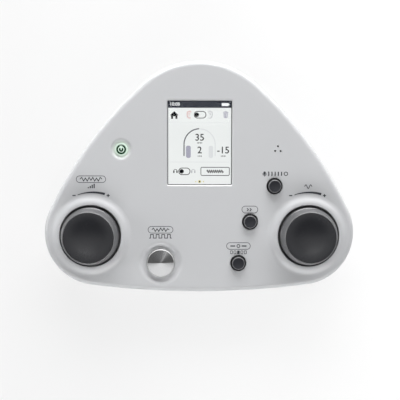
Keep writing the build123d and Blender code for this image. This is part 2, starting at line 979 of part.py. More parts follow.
def display_bracket():
    """The frame that presses the display up against the window."""
    width = 2 * (bracket_boss_spread + bracket_ear)
    length = 2 * (bracket_boss_place + bracket_ear)
    bottom = bracket_top - bracket_height
    body = slab(width, length, bottom, bracket_top, corner=bracket_ear)
    opening = slab(
        glass_width - 2 * bracket_frame,
        length - 2 * bracket_frame,
        bottom - overrun,
        bracket_top + overrun,
        corner=bracket_ear,
    )
    body = Pos(0, window_place) * (body - opening)
    for place in bracket_places:
        body -= post(small_screw_radius + seat_gap, bottom - overrun, bracket_top + overrun, place)
    return body


def control_board():
    """The circuit board that carries the encoders and switches."""
    middle = (0, (board_front + board_rear) / 2)
    body = slab(2 * board_half_width, board_rear - board_front, board_under, board_top, middle)
    wing_width = wing_outer - wing_inner
    wing_middle = (board_rear + wing_rear) / 2
    for _, sign in SIDES:
        place = (sign * (wing_inner + wing_outer) / 2, wing_middle)
        body += slab(wing_width, wing_rear - board_rear, board_under, board_top, place)
    for place in board_places:
        hole = small_screw_radius + seat_gap
        body -= post(hole, board_under - overrun, board_top + overrun, place)
    return body


def connector_plate():
    """The metal plate at the back of the cable bay."""
    body = Pos(0, plate_inner + plate_thickness / 2, 0) * slab(
        2 * plate_half_width,
        plate_thickness,
        jack_height - plate_height / 2,
        jack_height + plate_height / 2,
    )
    for across in jack_spreads.values():
        hole = sleeve_radius + seat_gap
        body -= rod(hole, plate_inner - overrun, bay_face + overrun, across, jack_height)
    for sign in (-1, 1):
        hole = small_screw_radius + seat_gap
        across = sign * plate_screw_spread
        body -= rod(hole, plate_inner - overrun, bay_face + overrun, across, jack_height)
    height = jack_bottom + usb_height / 2
    return body - usb_shape(seat_gap, plate_inner - overrun, bay_face + overrun, height)


def usb_shape(gap, front, rear, height):
    """The round-ended bar that a small data port fills, grown by a gap."""
    tall = usb_height + 2 * gap
    face = Plane.XZ * SlotOverall(usb_width + 2 * gap, tall)
    return Pos(0, rear, height) * extrude(face, rear - front)


def usb_port():
    """The data and charging port, with its tongue."""
    height = jack_bottom + usb_height / 2
    mouth = bay_face
    body = usb_shape(0, mouth - usb_length, mouth, height)
    body -= usb_shape(-usb_wall, mouth - usb_depth, mouth + overrun, height)
    half = usb_tongue_height / 2
    place = (0, mouth - usb_length + usb_tongue_length / 2)
    return body + slab(usb_tongue_width, usb_tongue_length, height - half, height + half, place)


def jack(across):
    """A socket for a 6.3 mm plug: body on the board and threaded sleeve through the plate."""
    middle = (across, plate_inner - jack_body_length / 2)
    top = jack_bottom + jack_body_width
    body = slab(jack_body_width, jack_body_length, jack_bottom, top, middle)
    mouth = bay_face + sleeve_rise
    body += rod(sleeve_radius, plate_inner, mouth, across, jack_height)
    return body - rod(jack_bore_radius, mouth - jack_bore_depth, mouth + overrun, across, jack_height)


def jack_nuts():
    """The nuts that clamp the jacks to the plate."""
    nuts = []
    for across in jack_spreads.values():
        face = Plane.XZ * RegularPolygon(jack_nut_radius, 6)
        nut = Pos(across, bay_face + jack_nut_height, jack_height) * extrude(face, jack_nut_height)
        hole = sleeve_radius + running_gap
        cut = rod(hole, bay_face - overrun, bay_face + jack_nut_height + overrun, across, jack_height)
        nuts.append(nut - cut)
    return Compound(children=nuts)


def plate_screws():
    """The two screws of the connector plate."""
    screws = []
    for sign in (-1, 1):
        placed = Pos(sign * plate_screw_spread, bay_face, jack_height) * Rot(90, 0, 0)
        screws.append(placed * small_screw((0, 0), 0))
    return Compound(children=screws)


def main_board():
    """The circuit board on the floor, behind the battery."""
    middle = (0, (main_front + main_rear) / 2)
    body = slab(2 * main_half_width, main_rear - main_front, main_under, jack_bottom, middle)
    for place in standoff_places:
        body -= post(small_screw_radius + seat_gap, main_under - overrun, jack_bottom + overrun, place)
    return body


def main_board_parts():
    """The larger parts soldered to the main board."""
    parts = []
    length = chip_rear - chip_front
    for across in (-chip_spread, 0):
        parts.append(slab(chip_width, length, jack_bottom, jack_bottom + chip_height, (across, chip_row)))
    for step in range(capacitors):
        across = chip_spread + capacitor_pitch * (step - (capacitors - 1) / 2)
        top = jack_bottom + capacitor_height
        parts.append(post(capacitor_radius, jack_bottom, top, (across, chip_row)))
    return Compound(children=parts)


def main_board_screws():
    """The screws of the main board, put in from above."""
    length = main_under - floor_top + board_thickness
    screws = []
    for place in standoff_places:
        turned = Pos(place[0], place[1], jack_bottom) * Rot(180, 0, 0)
        screws.append(turned * small_screw((0, 0), 0, length))
    return Compound(children=screws)


def panel_point(along, height):
    """A panel place's Y and Z on the instrument."""
    point = panel_plane.from_local_coords(Vector(0, along, height))
    return point.Y, point.Z


def ribbon(points, across):
    """A flat cable that follows a line in the YZ plane."""
    line = FilletPolyline(*points, radius=ribbon_bend)
    strip = Plane.YZ * trace(line, ribbon_thickness)
    return Pos(across - ribbon_width / 2, 0, 0) * extrude(strip, ribbon_width)


def display_ribbon():
    """The flat cable from the display to the main board."""
    edge = window_place - glass_length / 2
    turn = edge - ribbon_reach
    height = module_top - module_height / 2
    down = panel_point(turn, -board_drop)
    socket = (main_front + socket_length, jack_bottom + socket_height / 2)
    points = [
        panel_point(edge, height),
        panel_point(turn, height),
        down,
        (socket[0] - ribbon_lead, socket[1]),
        socket,
    ]
    return ribbon(points, -display_ribbon_spread)


def board_ribbon():
    """The flat cable from the control board to the main board."""
    start = panel_point(board_rear - socket_length, board_under - socket_height - ribbon_thickness)
    socket = (main_front + socket_length, jack_bottom + socket_height / 2)
    points = [
        start,
        (start[0], battery_top + (start[1] - battery_top) * ribbon_drop_share),
        (battery_rear, battery_top + ribbon_bend),
        (socket[0] - ribbon_lead, socket[1]),
        socket,
    ]
    return ribbon(points, board_ribbon_spread)


def ribbon_sockets():
    """The sockets that the flat cables plug into."""
    along = socket_rear - socket_length / 2
    low, high = jack_bottom, jack_bottom + socket_height
    sockets = [
        slab(socket_width, socket_length, low, high, (-display_ribbon_spread, along)),
        slab(socket_width, socket_length, low, high, (board_ribbon_spread, along)),
    ]
    place = (board_ribbon_spread, board_rear - socket_length)
    header = slab(socket_width, socket_length, board_under - socket_height, board_under, place)
    return Compound(children=sockets + [on_panel(header)])


def battery_pack():
    """The rechargeable pack, resting on its door."""
    place = (0, battery_middle)
    body = slab(battery_width, battery_length, door_top, battery_top, place)
    return fillet(body.edges().filter_by(Axis.X), battery_edge)


def battery_door():
    """The flat door in the base."""
    place = (0, battery_middle)
    width = door_width - 2 * seat_gap
    length = door_length - 2 * seat_gap
    body = slab(width, length, base_lift, door_top, place, corner=hole_bevel)
    for sign in (-1, 1):
        at = (0, battery_middle + sign * door_screw_reach)
        body -= post(small_screw_radius + seat_gap, base_lift - overrun, door_top + overrun, at)
        sink = base_lift + small_head_height - slot_depth / 2
        body -= post(small_head_radius + seat_gap, base_lift - overrun, sink, at)
    return body


def door_screws():
    """The screws of the battery door."""
    seat = base_lift + small_head_height - slot_depth / 2
    screws = [
        small_screw((0, battery_middle + sign * door_screw_reach), seat, door_screw_length)
        for sign in (-1, 1)
    ]
    return Compound(children=screws)


def battery_contacts():
    """The two leaf contacts between the pack and the main board."""
    leaves = []
    for sign in (-1, 1):
        across = sign * contact_spread
        reach = main_front + contact_reach - battery_rear
        flat = slab(
            contact_width,
            reach,
            jack_bottom,
            jack_bottom + contact_thickness,
            (across, battery_rear + reach / 2),
        )
        place = (across, battery_rear + contact_thickness / 2)
        flat += slab(contact_width, contact_thickness, jack_bottom, battery_top - battery_edge, place)
        leaves.append(flat)
    return Compound(children=leaves)


def group(piece, places):
    """Copies of a piece at several places, in one node."""
    return Compound(children=[Pos(*place) * piece for place in places])


def build():
    """Every node of the instrument, by name."""
    bracket_seat = bracket_top - bracket_height
    glass = slab(glass_width, glass_length, module_top, glass_top, (0, window_place))
    module = slab(glass_width, glass_length, bracket_top, module_top, (0, window_place))
    switches = group(switch(key_switch_width, key_stem_radius), key_places.values())
    panel_pieces = {
        "display_gasket": display_gasket(),
        "touch_panel": glass,
        "display_module": module,
        "display_bracket": display_bracket(),
        "bracket_screws": Compound(
            children=[
                small_screw(place, bracket_seat, bracket_screw_length) for place in bracket_places
            ]
        ),
        "control_board": control_board(),
        "control_board_screws": Compound(
            children=[small_screw(place, board_under, small_screw_length) for place in board_places]
        ),
        "key_switches": switches,
        "stimulus_cap": Pos(*stimulus_place) * stimulus_cap(),
        "stimulus_carrier": Pos(*stimulus_place) * stimulus_carrier(),
        "stimulus_switch": Pos(*stimulus_place) * switch(stimulus_switch_width, stimulus_stem_radius),
        "power_button": Pos(*power_place) * power_button(),
        "power_switch": Pos(*power_place) * switch(key_switch_width, key_stem_radius),
        "power_lamp": Pos(*power_place) * power_lamp(),
        "microphone_boot": Pos(*mic_place) * microphone_boot(),
        "microphone_capsule": Pos(*mic_place) * microphone_capsule(),
    }
    for name, place in key_places.items():
        panel_pieces[name] = Pos(*place) * key_cap()
    for side, place in dial_places.items():
        at = Pos(*place)
        panel_pieces[side + "_dial_skirt"] = at * dial_skirt()
        panel_pieces[side + "_dial_cap"] = at * dial_cap()
        panel_pieces[side + "_dial_clip"] = at * dial_clip()
        panel_pieces[side + "_encoder_shaft"] = at * encoder_shaft()
        panel_pieces[side + "_encoder_body"] = at * encoder_body()
        panel_pieces[side + "_encoder_nut"] = at * encoder_nut()
    pieces = {name: on_panel(piece) for name, piece in panel_pieces.items()}
    pieces.update(
        {
            "upper_cover": upper_cover(),
            "lower_cover": lower_cover(),
            "case_screws": case_screws(),
            "rubber_feet": rubber_feet(),
            "connector_plate": connector_plate(),
            "plate_screws": plate_screws(),
            "jack_nuts": jack_nuts(),
            "usb_port": usb_port(),
            "main_board": main_board(),
            "main_board_parts": main_board_parts(),
            "main_board_screws": main_board_screws(),
            "display_ribbon": display_ribbon(),
            "board_ribbon": board_ribbon(),
            "ribbon_sockets": ribbon_sockets(),
            "battery_pack": battery_pack(),
            "battery_door": battery_door(),
            "door_screws": door_screws(),
            "battery_contacts": battery_contacts(),
        }
    )
    for name, across in jack_spreads.items():
        pieces[name] = jack(across)
    return pieces


os.makedirs("parts", exist_ok=True)
for name, piece in build().items():
    export_step(piece, f"parts/{name}.step")
print("panel normal", panel_plane.z_dir)
for side, place in dial_places.items():
    print(side, "dial axis through", panel_plane.from_local_coords(Vector(*place)))
print("jack mouth", bay_face + sleeve_rise, "height", jack_height, "rear", case_rear)
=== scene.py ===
import json
import logging
import math
from collections.abc import Iterable, Sequence
from dataclasses import dataclass
from enum import Enum
from typing import Any

import bpy
from mathutils import Color, Matrix, Vector


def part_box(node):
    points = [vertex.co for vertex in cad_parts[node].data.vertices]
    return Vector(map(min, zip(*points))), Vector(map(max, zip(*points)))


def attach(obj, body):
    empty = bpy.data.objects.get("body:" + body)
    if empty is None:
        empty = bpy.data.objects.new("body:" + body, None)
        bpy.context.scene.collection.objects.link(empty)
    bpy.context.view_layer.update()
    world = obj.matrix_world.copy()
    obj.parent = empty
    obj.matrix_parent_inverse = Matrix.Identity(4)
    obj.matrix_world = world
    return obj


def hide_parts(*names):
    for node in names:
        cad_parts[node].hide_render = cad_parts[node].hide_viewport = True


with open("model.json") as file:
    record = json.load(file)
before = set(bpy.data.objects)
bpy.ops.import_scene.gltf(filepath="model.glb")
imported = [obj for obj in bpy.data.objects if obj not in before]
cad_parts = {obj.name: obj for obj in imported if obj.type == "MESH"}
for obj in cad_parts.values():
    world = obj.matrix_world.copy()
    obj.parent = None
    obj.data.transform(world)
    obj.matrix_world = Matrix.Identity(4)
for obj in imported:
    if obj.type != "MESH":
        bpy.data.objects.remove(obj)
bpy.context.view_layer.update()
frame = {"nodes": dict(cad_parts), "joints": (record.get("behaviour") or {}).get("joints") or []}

log = logging.getLogger("audiometer")

# Metres in a millimetre: sizes below are in millimetres, and the studio's are in metres
MM = 0.001
MADE: dict[str, bpy.types.Material] = {}
Point = tuple[float, float]
Point3 = tuple[float, float, float]
Colour = tuple[float, float, float]
RIGHT = Vector((1, 0, 0))
REAR = Vector((0, 1, 0))


def shade(red: float, green: float, blue: float) -> Colour:
    """Turns a screen colour of 0 to 255 into the linear colour that a shader takes."""
    return tuple(Color([level / 255 for level in (red, green, blue)]).from_srgb_to_scene_linear())


def scaled(colour: Colour, share: float) -> Colour:
    """A colour made lighter or darker by a share, with no channel above one."""
    return tuple(min(level * share, 1.0) for level in colour)


class Signal:
    """A number that changes over a surface, so that shader maths reads as plain sums."""

    def __init__(self, graph: "Graph", socket: bpy.types.NodeSocket) -> None:
        """Wraps an output socket of a graph."""
        self.graph = graph
        self.socket = socket

    def __add__(self, other: "Signal | float") -> "Signal":
        """The sum."""
        return self.graph.maths("ADD", self, other)

    def __sub__(self, other: "Signal | float") -> "Signal":
        """The difference."""
        return self.graph.maths("SUBTRACT", self, other)

    def __rsub__(self, other: float) -> "Signal":
        """A number less this signal."""
        return self.graph.maths("SUBTRACT", other, self)

    def __mul__(self, other: "Signal | float") -> "Signal":
        """The product."""
        return self.graph.maths("MULTIPLY", self, other)

    def __truediv__(self, other: "Signal | float") -> "Signal":
        """The quotient."""
        return self.graph.maths("DIVIDE", self, other)

    def __pow__(self, other: float) -> "Signal":
        """The power."""
        return self.graph.maths("POWER", self, other)

    __radd__ = __add__
    __rmul__ = __mul__

    def above(self, level: float) -> "Signal":
        """One where the signal is above a level, and zero elsewhere."""
        return self.graph.maths("GREATER_THAN", self, level)

    def wave(self) -> "Signal":
        """The sine of the signal."""
        return self.graph.maths("SINE", self, 0.0)

    def swing(self, span: float) -> "Signal":
        """How far a signal of zero to one lies from its middle, spread over a span."""
        return (self - 0.5) * span

    def eased(self) -> "Signal":
        """A signal of zero to one with a soft start and a soft end."""
        return self * self * (3.0 - self * 2.0)

    def near(self, level: float, width: float) -> "Signal":
        """One at a level, fading to zero at a width from it."""
        apart = self.graph.maths("ABSOLUTE", self - level, 0.0)
        return 1.0 - (apart / width).within(0, 1)

    def within(self, low: float, high: float) -> "Signal":
        """The signal's share of the way from low to high, kept from zero to one."""
        return self.graph.maths("MINIMUM", self.graph.maths("MAXIMUM", (self - low) / (high - low), 0.0), 1.0)


class Graph:
    """The nodes of one material, or of the world."""

    def __init__(self, owner: bpy.types.Material | bpy.types.World) -> None:
        """Starts with no nodes.

        Args:
            owner: The material or the world.
        """
        self.owner = owner
        owner.use_nodes = True
        self.tree = owner.node_tree
        self.tree.nodes.clear()

    def node(self, kind: str, settings: dict[str, Any] | None = None, **inputs: Any) -> bpy.types.Node:
        """Adds a node, sets its options first and then the values or links of its sockets.

        Args:
            kind: The node's type.
            settings: Options of the node, such as an operation.
            inputs: Values, sockets or signals by socket name, with _ for a space, or by number as i0, i1.

        Returns:
            The new node.
        """
        node = self.tree.nodes.new(kind)
        for option, value in (settings or {}).items():
            setattr(node, option, value)
        for name, value in inputs.items():
            key = int(name[1:]) if name[0] == "i" and name[1:].isdigit() else name.replace("_", " ")
            socket = node.inputs[key]
            if isinstance(value, Signal):
                value = value.socket
            if isinstance(value, bpy.types.NodeSocket):
                self.tree.links.new(value, socket)
            else:
                socket.default_value = value
        return node

    def maths(self, operation: str, first: Signal | float, second: Signal | float) -> Signal:
        """One sum of two numbers."""
        node = self.node("ShaderNodeMath", {"operation": operation}, i0=first, i1=second)
        return Signal(self, node.outputs[0])

    def place(self) -> bpy.types.NodeSocket:
        """The place on the object, in metres."""
        return self.node("ShaderNodeTexCoord").outputs["Object"]

    def offset(self, centre: Vector, axis: Vector) -> Signal:
        """How far the surface lies from a centre along an axis.

        Args:
            centre: The centre, in metres.
            axis: The axis, of length one.

        Returns:
            The distance in millimetres.
        """
        apart = self.node("ShaderNodeVectorMath", {"operation": "SUBTRACT"}, i0=self.place(), i1=centre)
        along = self.node("ShaderNodeVectorMath", {"operation": "DOT_PRODUCT"}, i0=apart.outputs[0], i1=axis)
        return Signal(self, along.outputs["Value"]) / MM

    def around(self, centre: Vector) -> tuple[Signal, Signal]:
        """Where the surface lies about an axis that stands square on the face.

        Args:
            centre: A place on the axis, in metres.

        Returns:
            The radius in millimetres, and the direction in degrees from the right, anticlockwise.
        """
        across = self.offset(centre, RIGHT)
        up = self.offset(centre, Panel.up_axis())
        radius = (across * across + up * up) ** 0.5
        return radius, self.maths("ARCTAN2", up, across) * math.degrees(1)

    def noise(self, size: float, detail: float = 2.0, stretch: Point3 = (1.0, 1.0, 1.0)) -> Signal:
        """Soft noise of zero to one.

        Args:
            size: About how large its patches are, in millimetres.
            detail: How many finer layers it has.
            stretch: How much shorter the patches are along each axis. Below one they are longer.

        Returns:
            The noise.
        """
        turned = self.node("ShaderNodeMapping", Vector=self.place(), Scale=stretch)
        node = self.node("ShaderNodeTexNoise", Vector=turned.outputs[0], Scale=1 / (size * MM), Detail=detail)
        return Signal(self, node.outputs[0])

    def tint(
        self, factor: Signal, first: Colour | bpy.types.NodeSocket, second: Colour
    ) -> bpy.types.NodeSocket:
        """A colour between two.

        Args:
            factor: Zero for the first colour and one for the second.
            first: A colour, or a socket where it varies.
            second: The other colour.

        Returns:
            The socket of the mixed colour.
        """
        start = first if isinstance(first, bpy.types.NodeSocket) else (*first, 1.0)
        mix = self.node("ShaderNodeMix", {"data_type": "RGBA"}, i0=factor, i6=start, i7=(*second, 1.0))
        return mix.outputs[2]

    def bump(self, height: Signal, depth: float, strength: float = 1.0) -> bpy.types.NodeSocket:
        """A normal from a height of zero to one that stands for a depth in millimetres."""
        node = self.node("ShaderNodeBump", Height=height, Distance=depth * MM, Strength=strength)
        return node.outputs[0]

    def surface(self, **inputs: Any) -> bpy.types.Material:
        """Ends a material with one shader.

        Args:
            inputs: What the shader's sockets take, by name.

        Returns:
            The material.
        """
        shader = self.node("ShaderNodeBsdfPrincipled", **inputs)
        self.node("ShaderNodeOutputMaterial", Surface=shader.outputs[0])
        return self.owner


@dataclass(frozen=True)
class Finish:
    """What every finish has: a name and a colour."""

    name: str
    colour: Colour

    def material(self) -> bpy.types.Material:
        """The finish as a material, made once and then shared.

        Returns:
            The material.
        """
        if self.name not in MADE:
            MADE[self.name] = self.made(Graph(bpy.data.materials.new(self.name)))
        return MADE[self.name]

    def made(self, graph: Graph) -> bpy.types.Material:
        """Fills the graph. Each kind of finish does this its own way."""
        raise NotImplementedError


@dataclass(frozen=True)
class Band:
    """A round band about an axis that stands square on the face, such as a painted highlight on a lip or
    painted shade in a well.
    """

    axis: Point3
    inner: float
    outer: float
    colour: Colour
    roughness: float
    fade: float = 0.15

    def laid(
        self, graph: Graph, colour: bpy.types.NodeSocket, rough: Signal
    ) -> tuple[bpy.types.NodeSocket, Signal]:
        """Lays the band over a finish.

        Args:
            graph: The material's nodes.
            colour: The colour under the band.
            rough: The roughness under the band.

        Returns:
            The colour and the roughness with the band.
        """
        radius, _ = graph.around(Vector(self.axis))
        starts = radius.within(self.inner - self.fade, self.inner)
        mask = starts * (1.0 - radius.within(self.outer, self.outer + self.fade))
        return graph.tint(mask, colour, self.colour), rough * (1.0 - mask) + mask * self.roughness


@dataclass(frozen=True)
class Moulding(Finish):
    """Moulded plastic or rubber: a fine spark-eroded grain, faint flow marks and a soft gloss."""

    roughness: float = 0.45
    grain: float = 0.35
    grain_depth: float = 0.012
    mottling: float = 0.03
    sheen: float = 0.0
    gloss: float = 0.5
    bands: tuple[Band, ...] = ()
    grain_dulling: float = 0.06
    flow: float = 28.0
    flow_share: float = 0.7
    flow_dulling: float = 0.08

    def made(self, graph: Graph) -> bpy.types.Material:
        """A grained surface whose colour and gloss wander a little.

        Args:
            graph: The empty graph.

        Returns:
            The material.
        """
        flow = graph.noise(self.flow, detail=3.0)
        grain = graph.noise(self.grain)
        mottle = flow * self.flow_share + grain * (1 - self.flow_share)
        pale = scaled(self.colour, 1 + self.mottling)
        colour = graph.tint(mottle, scaled(self.colour, 1 - self.mottling), pale)
        rough = self.roughness + flow.swing(self.flow_dulling) + grain.swing(self.grain_dulling)
        for band in self.bands:
            colour, rough = band.laid(graph, colour, rough)
        return graph.surface(
            Base_Color=colour,
            Roughness=rough,
            Normal=graph.bump(grain, self.grain_depth),
            Sheen_Weight=self.sheen,
            Specular_IOR_Level=self.gloss,
        )


@dataclass(frozen=True)
class Lacquer(Finish):
    """Satin lacquer with fine metal flakes."""

    roughness: float = 0.36
    metal: float = 0.55
    bands: tuple[Band, ...] = ()
    flake: float = 0.12
    flake_depth: float = 0.004
    flake_share: float = 0.6
    flake_dulling: float = 0.16
    cloud: float = 9.0
    palest: float = 1.18
    deepest: float = 0.86

    def made(self, graph: Graph) -> bpy.types.Material:
        """Flakes vary the colour and the gloss.

        Args:
            graph: The empty graph.

        Returns:
            The material.
        """
        flakes = graph.noise(self.flake, detail=1.0)
        mottle = flakes * self.flake_share + graph.noise(self.cloud) * (1 - self.flake_share)
        colour = graph.tint(mottle, scaled(self.colour, self.deepest), scaled(self.colour, self.palest))
        rough = self.roughness + flakes.swing(self.flake_dulling)
        for band in self.bands:
            colour, rough = band.laid(graph, colour, rough)
        return graph.surface(
            Base_Color=colour,
            Metallic=self.metal,
            Roughness=rough,
            Normal=graph.bump(flakes, self.flake_depth),
        )


@dataclass(frozen=True)
class Marks:
    """The marks that working leaves in metal: their size, their depth and their stretch."""

    size: float
    depth: float
    stretch: Point3 = (1.0, 1.0, 1.0)


class Cut(Enum):
    """How a metal surface was worked."""

    PLATED = Marks(0.9, 0.006)
    BRUSHED = Marks(0.5, 0.008, (0.06, 1.0, 1.0))


@dataclass(frozen=True)
class Metal(Finish):
    """Bare or plated metal."""

    roughness: float = 0.3
    cut: Cut = Cut.PLATED
    cloud: float = 4.0
    cloud_dulling: float = 0.1
    palest: float = 1.06
    deepest: float = 0.9

    def made(self, graph: Graph) -> bpy.types.Material:
        """Plating has soft dents, and brushed metal has long lines.

        Args:
            graph: The empty graph.

        Returns:
            The material.
        """
        cloud = graph.noise(self.cloud, detail=3.0)
        marks = self.cut.value
        height = graph.noise(marks.size, stretch=marks.stretch)
        mottle = (height + cloud) * 0.5
        pale = scaled(self.colour, self.palest)
        return graph.surface(
            Base_Color=graph.tint(mottle, scaled(self.colour, self.deepest), pale),
            Metallic=1.0,
            Roughness=self.roughness + cloud.swing(self.cloud_dulling),
            Normal=graph.bump(height, marks.depth),
        )


@dataclass(frozen=True)
class TurnedDisc(Finish):
    """A turned metal disc: fine rings about its centre, a blunter rim and a streak across the rings.

    Its rear half is coloured darker from the middle towards its two ends: a painted dark reflection, as
    turned metal shows there.
    Directions are in degrees from the right, anticlockwise.
    """

    axis: Point3
    roughness: float = 0.14
    pitch: float = 0.35
    ring_depth: float = 0.003
    wander: float = 1.6
    cloud: float = 4.0
    cloud_dulling: float = 0.1
    deepest: float = 0.9
    rim: float = 10.2
    rim_fade: float = 0.1
    rim_colour: Colour = (0.50, 0.50, 0.50)
    rim_dulling: float = 0.4
    rim_plainness: float = 0.8
    streak: float = 62.0
    streak_width: float = 24.0
    streak_dulling: float = 0.1
    streak_plainness: float = 0.30
    # The colour of the painted dark reflection on the two ends of the rear half.
    end_painted_shade: Colour = (0.24, 0.24, 0.235)
    end_middle: float = 90.0
    end_width: float = 85.0
    end_fade: float = 6.0

    def made(self, graph: Graph) -> bpy.types.Material:
        """The rings are uneven, and the streak is duller than they are.

        Args:
            graph: The empty graph.

        Returns:
            The material.
        """
        radius, way = graph.around(Vector(self.axis))
        uneven = graph.noise(self.wander)
        cloud = graph.noise(self.cloud, detail=3.0)
        rings = ((radius * (math.tau / self.pitch) + uneven * 2.0).wave() + 1.0) * 0.5
        rim = radius.within(self.rim - self.rim_fade, self.rim + self.rim_fade)
        streak = way.near(self.streak, self.streak_width) * (1.0 - rim)
        # Painted dark reflection: the rear half's colour darkens towards its two ends.
        ends = (1.0 - way.near(self.end_middle, self.end_width)) * way.within(0.0, self.end_fade)
        colour = graph.tint((rings + cloud) * 0.5, scaled(self.colour, self.deepest), self.colour)
        colour = graph.tint(ends, colour, self.end_painted_shade)
        dulling = cloud.swing(self.cloud_dulling) + streak * self.streak_dulling + rim * self.rim_dulling
        return graph.surface(
            Base_Color=graph.tint(rim, colour, self.rim_colour),
            Metallic=1.0 - streak * self.streak_plainness - rim * self.rim_plainness,
            Roughness=self.roughness + dulling,
            Normal=graph.bump(rings, self.ring_depth),
        )


@dataclass(frozen=True)
class Lit(Finish):
    """A lit surface, such as a glowing moulding."""

    strength: float = 1.0
    unlit: float = 0.1
    roughness: float = 0.35
    gloss: float = 0.0
    cloud: float = 18.0
    deepest: float = 0.97

    def made(self, graph: Graph) -> bpy.types.Material:
        """Light that is a little uneven, as a backlight is.

        Args:
            graph: The empty graph.

        Returns:
            The material.
        """
        glow = graph.tint(graph.noise(self.cloud), scaled(self.colour, self.deepest), self.colour)
        return graph.surface(
            Base_Color=(*scaled(self.colour, self.unlit), 1.0),
            Emission_Color=glow,
            Emission_Strength=self.strength,
            Roughness=self.roughness,
            Specular_IOR_Level=self.gloss,
        )


@dataclass(frozen=True)
class Screen(Lit):
    """A lit part of the display's picture. It would be nearly black if it were off."""

    unlit: float = 0.02


@dataclass(frozen=True)
class Pane(Finish):
    """Clear hard-coated glass."""

    smear: float = 12.0
    smear_dulling: float = 0.05
    bending: float = 1.16
    gloss: float = 0.3

    def made(self, graph: Graph) -> bpy.types.Material:
        """Nearly clear, with faint smears in its gloss.

        Args:
            graph: The empty graph.

        Returns:
            The material.
        """
        smear = graph.noise(self.smear, detail=3.0, stretch=(1.0, 0.4, 1.0))
        return graph.surface(
            Base_Color=(*self.colour, 1.0),
            Transmission_Weight=1.0,
            IOR=self.bending,
            Specular_IOR_Level=self.gloss,
            Roughness=smear * self.smear_dulling,
        )


@dataclass(frozen=True)
class Board(Finish):
    """Solder resist over copper tracks."""

    track: Colour = (0.06, 0.26, 0.12)
    track_size: float = 2.2
    track_stretch: float = 0.25
    track_height: float = 0.03
    track_softness: float = 0.6
    rise_level: float = 0.55
    run_level: float = 0.58
    roughness: float = 0.3

    def made(self, graph: Graph) -> bpy.types.Material:
        """Tracks show through the resist as paler, slightly raised lines.

        Args:
            graph: The empty graph.

        Returns:
            The material.
        """
        rises = graph.noise(self.track_size, detail=0.0, stretch=(1.0, self.track_stretch, 1.0))
        runs = graph.noise(self.track_size, detail=0.0, stretch=(self.track_stretch, 1.0, 1.0))
        tracks = graph.maths("MAXIMUM", rises.above(self.rise_level), runs.above(self.run_level))
        return graph.surface(
            Base_Color=graph.tint(tracks, self.colour, self.track),
            Roughness=self.roughness,
            Normal=graph.bump(tracks, self.track_height, self.track_softness),
        )


@dataclass(frozen=True)
class Film(Finish):
    """Flat cable: conductors under a clear film."""

    wire: Colour = (0.62, 0.36, 0.14)
    edge: float = 0.2
    roughness: float = 0.28
    coat: float = 0.3

    def made(self, graph: Graph) -> bpy.types.Material:
        """Conductors run along the cable, a millimetre apart.

        Args:
            graph: The empty graph.

        Returns:
            The material.
        """
        across = graph.offset(Vector(), RIGHT)
        wires = (across * math.tau).wave().within(-self.edge, self.edge)
        return graph.surface(
            Base_Color=graph.tint(wires, self.colour, self.wire),
            Roughness=self.roughness,
            Coat_Weight=self.coat,
        )


class Panel:
    """The sloping face. It turns places on the face into places on the instrument."""

    dial_up: float = -27.8

    @classmethod
    def joint(cls) -> dict[str, Any]:
        """The joint of the right dial, which stands square on the face."""
        return next(joint for joint in frame["joints"] if joint["name"] == "right_dial_turn")

    @classmethod
    def out_axis(cls) -> Vector:
        """Square out of the face."""
        return Vector(cls.joint()["axis"]).normalized()

    @classmethod
    def up_axis(cls) -> Vector:
        """Up the slope of the face, towards the rear."""
        out = cls.out_axis()
        return Vector((0, out.z, -out.y))

    @classmethod
    def origin(cls) -> Vector:
        """The face's own zero, in the middle from side to side."""
        pivot = Vector(cls.joint()["pos_m"])
        return Vector((0, pivot.y, pivot.z)) - cls.up_axis() * cls.dial_up * MM

    @classmethod
    def matrix(cls, across: float = 0.0, up: float = 0.0, height: float = 0.0) -> Matrix:
        """The frame at a place on the face, from millimetres to metres.

        Args:
            across: Millimetres to the right of the middle.
            up: Millimetres up the slope.
            height: Millimetres out of the face.

        Returns:
            The matrix that carries a mesh drawn in millimetres to that place.
        """
        rise, out = cls.up_axis(), cls.out_axis()
        turned = Matrix((RIGHT, rise, out)).transposed().to_4x4()
        place = cls.origin() + (RIGHT * across + rise * up + out * height) * MM
        return Matrix.Translation(place) @ turned @ Matrix.Scale(MM, 4)


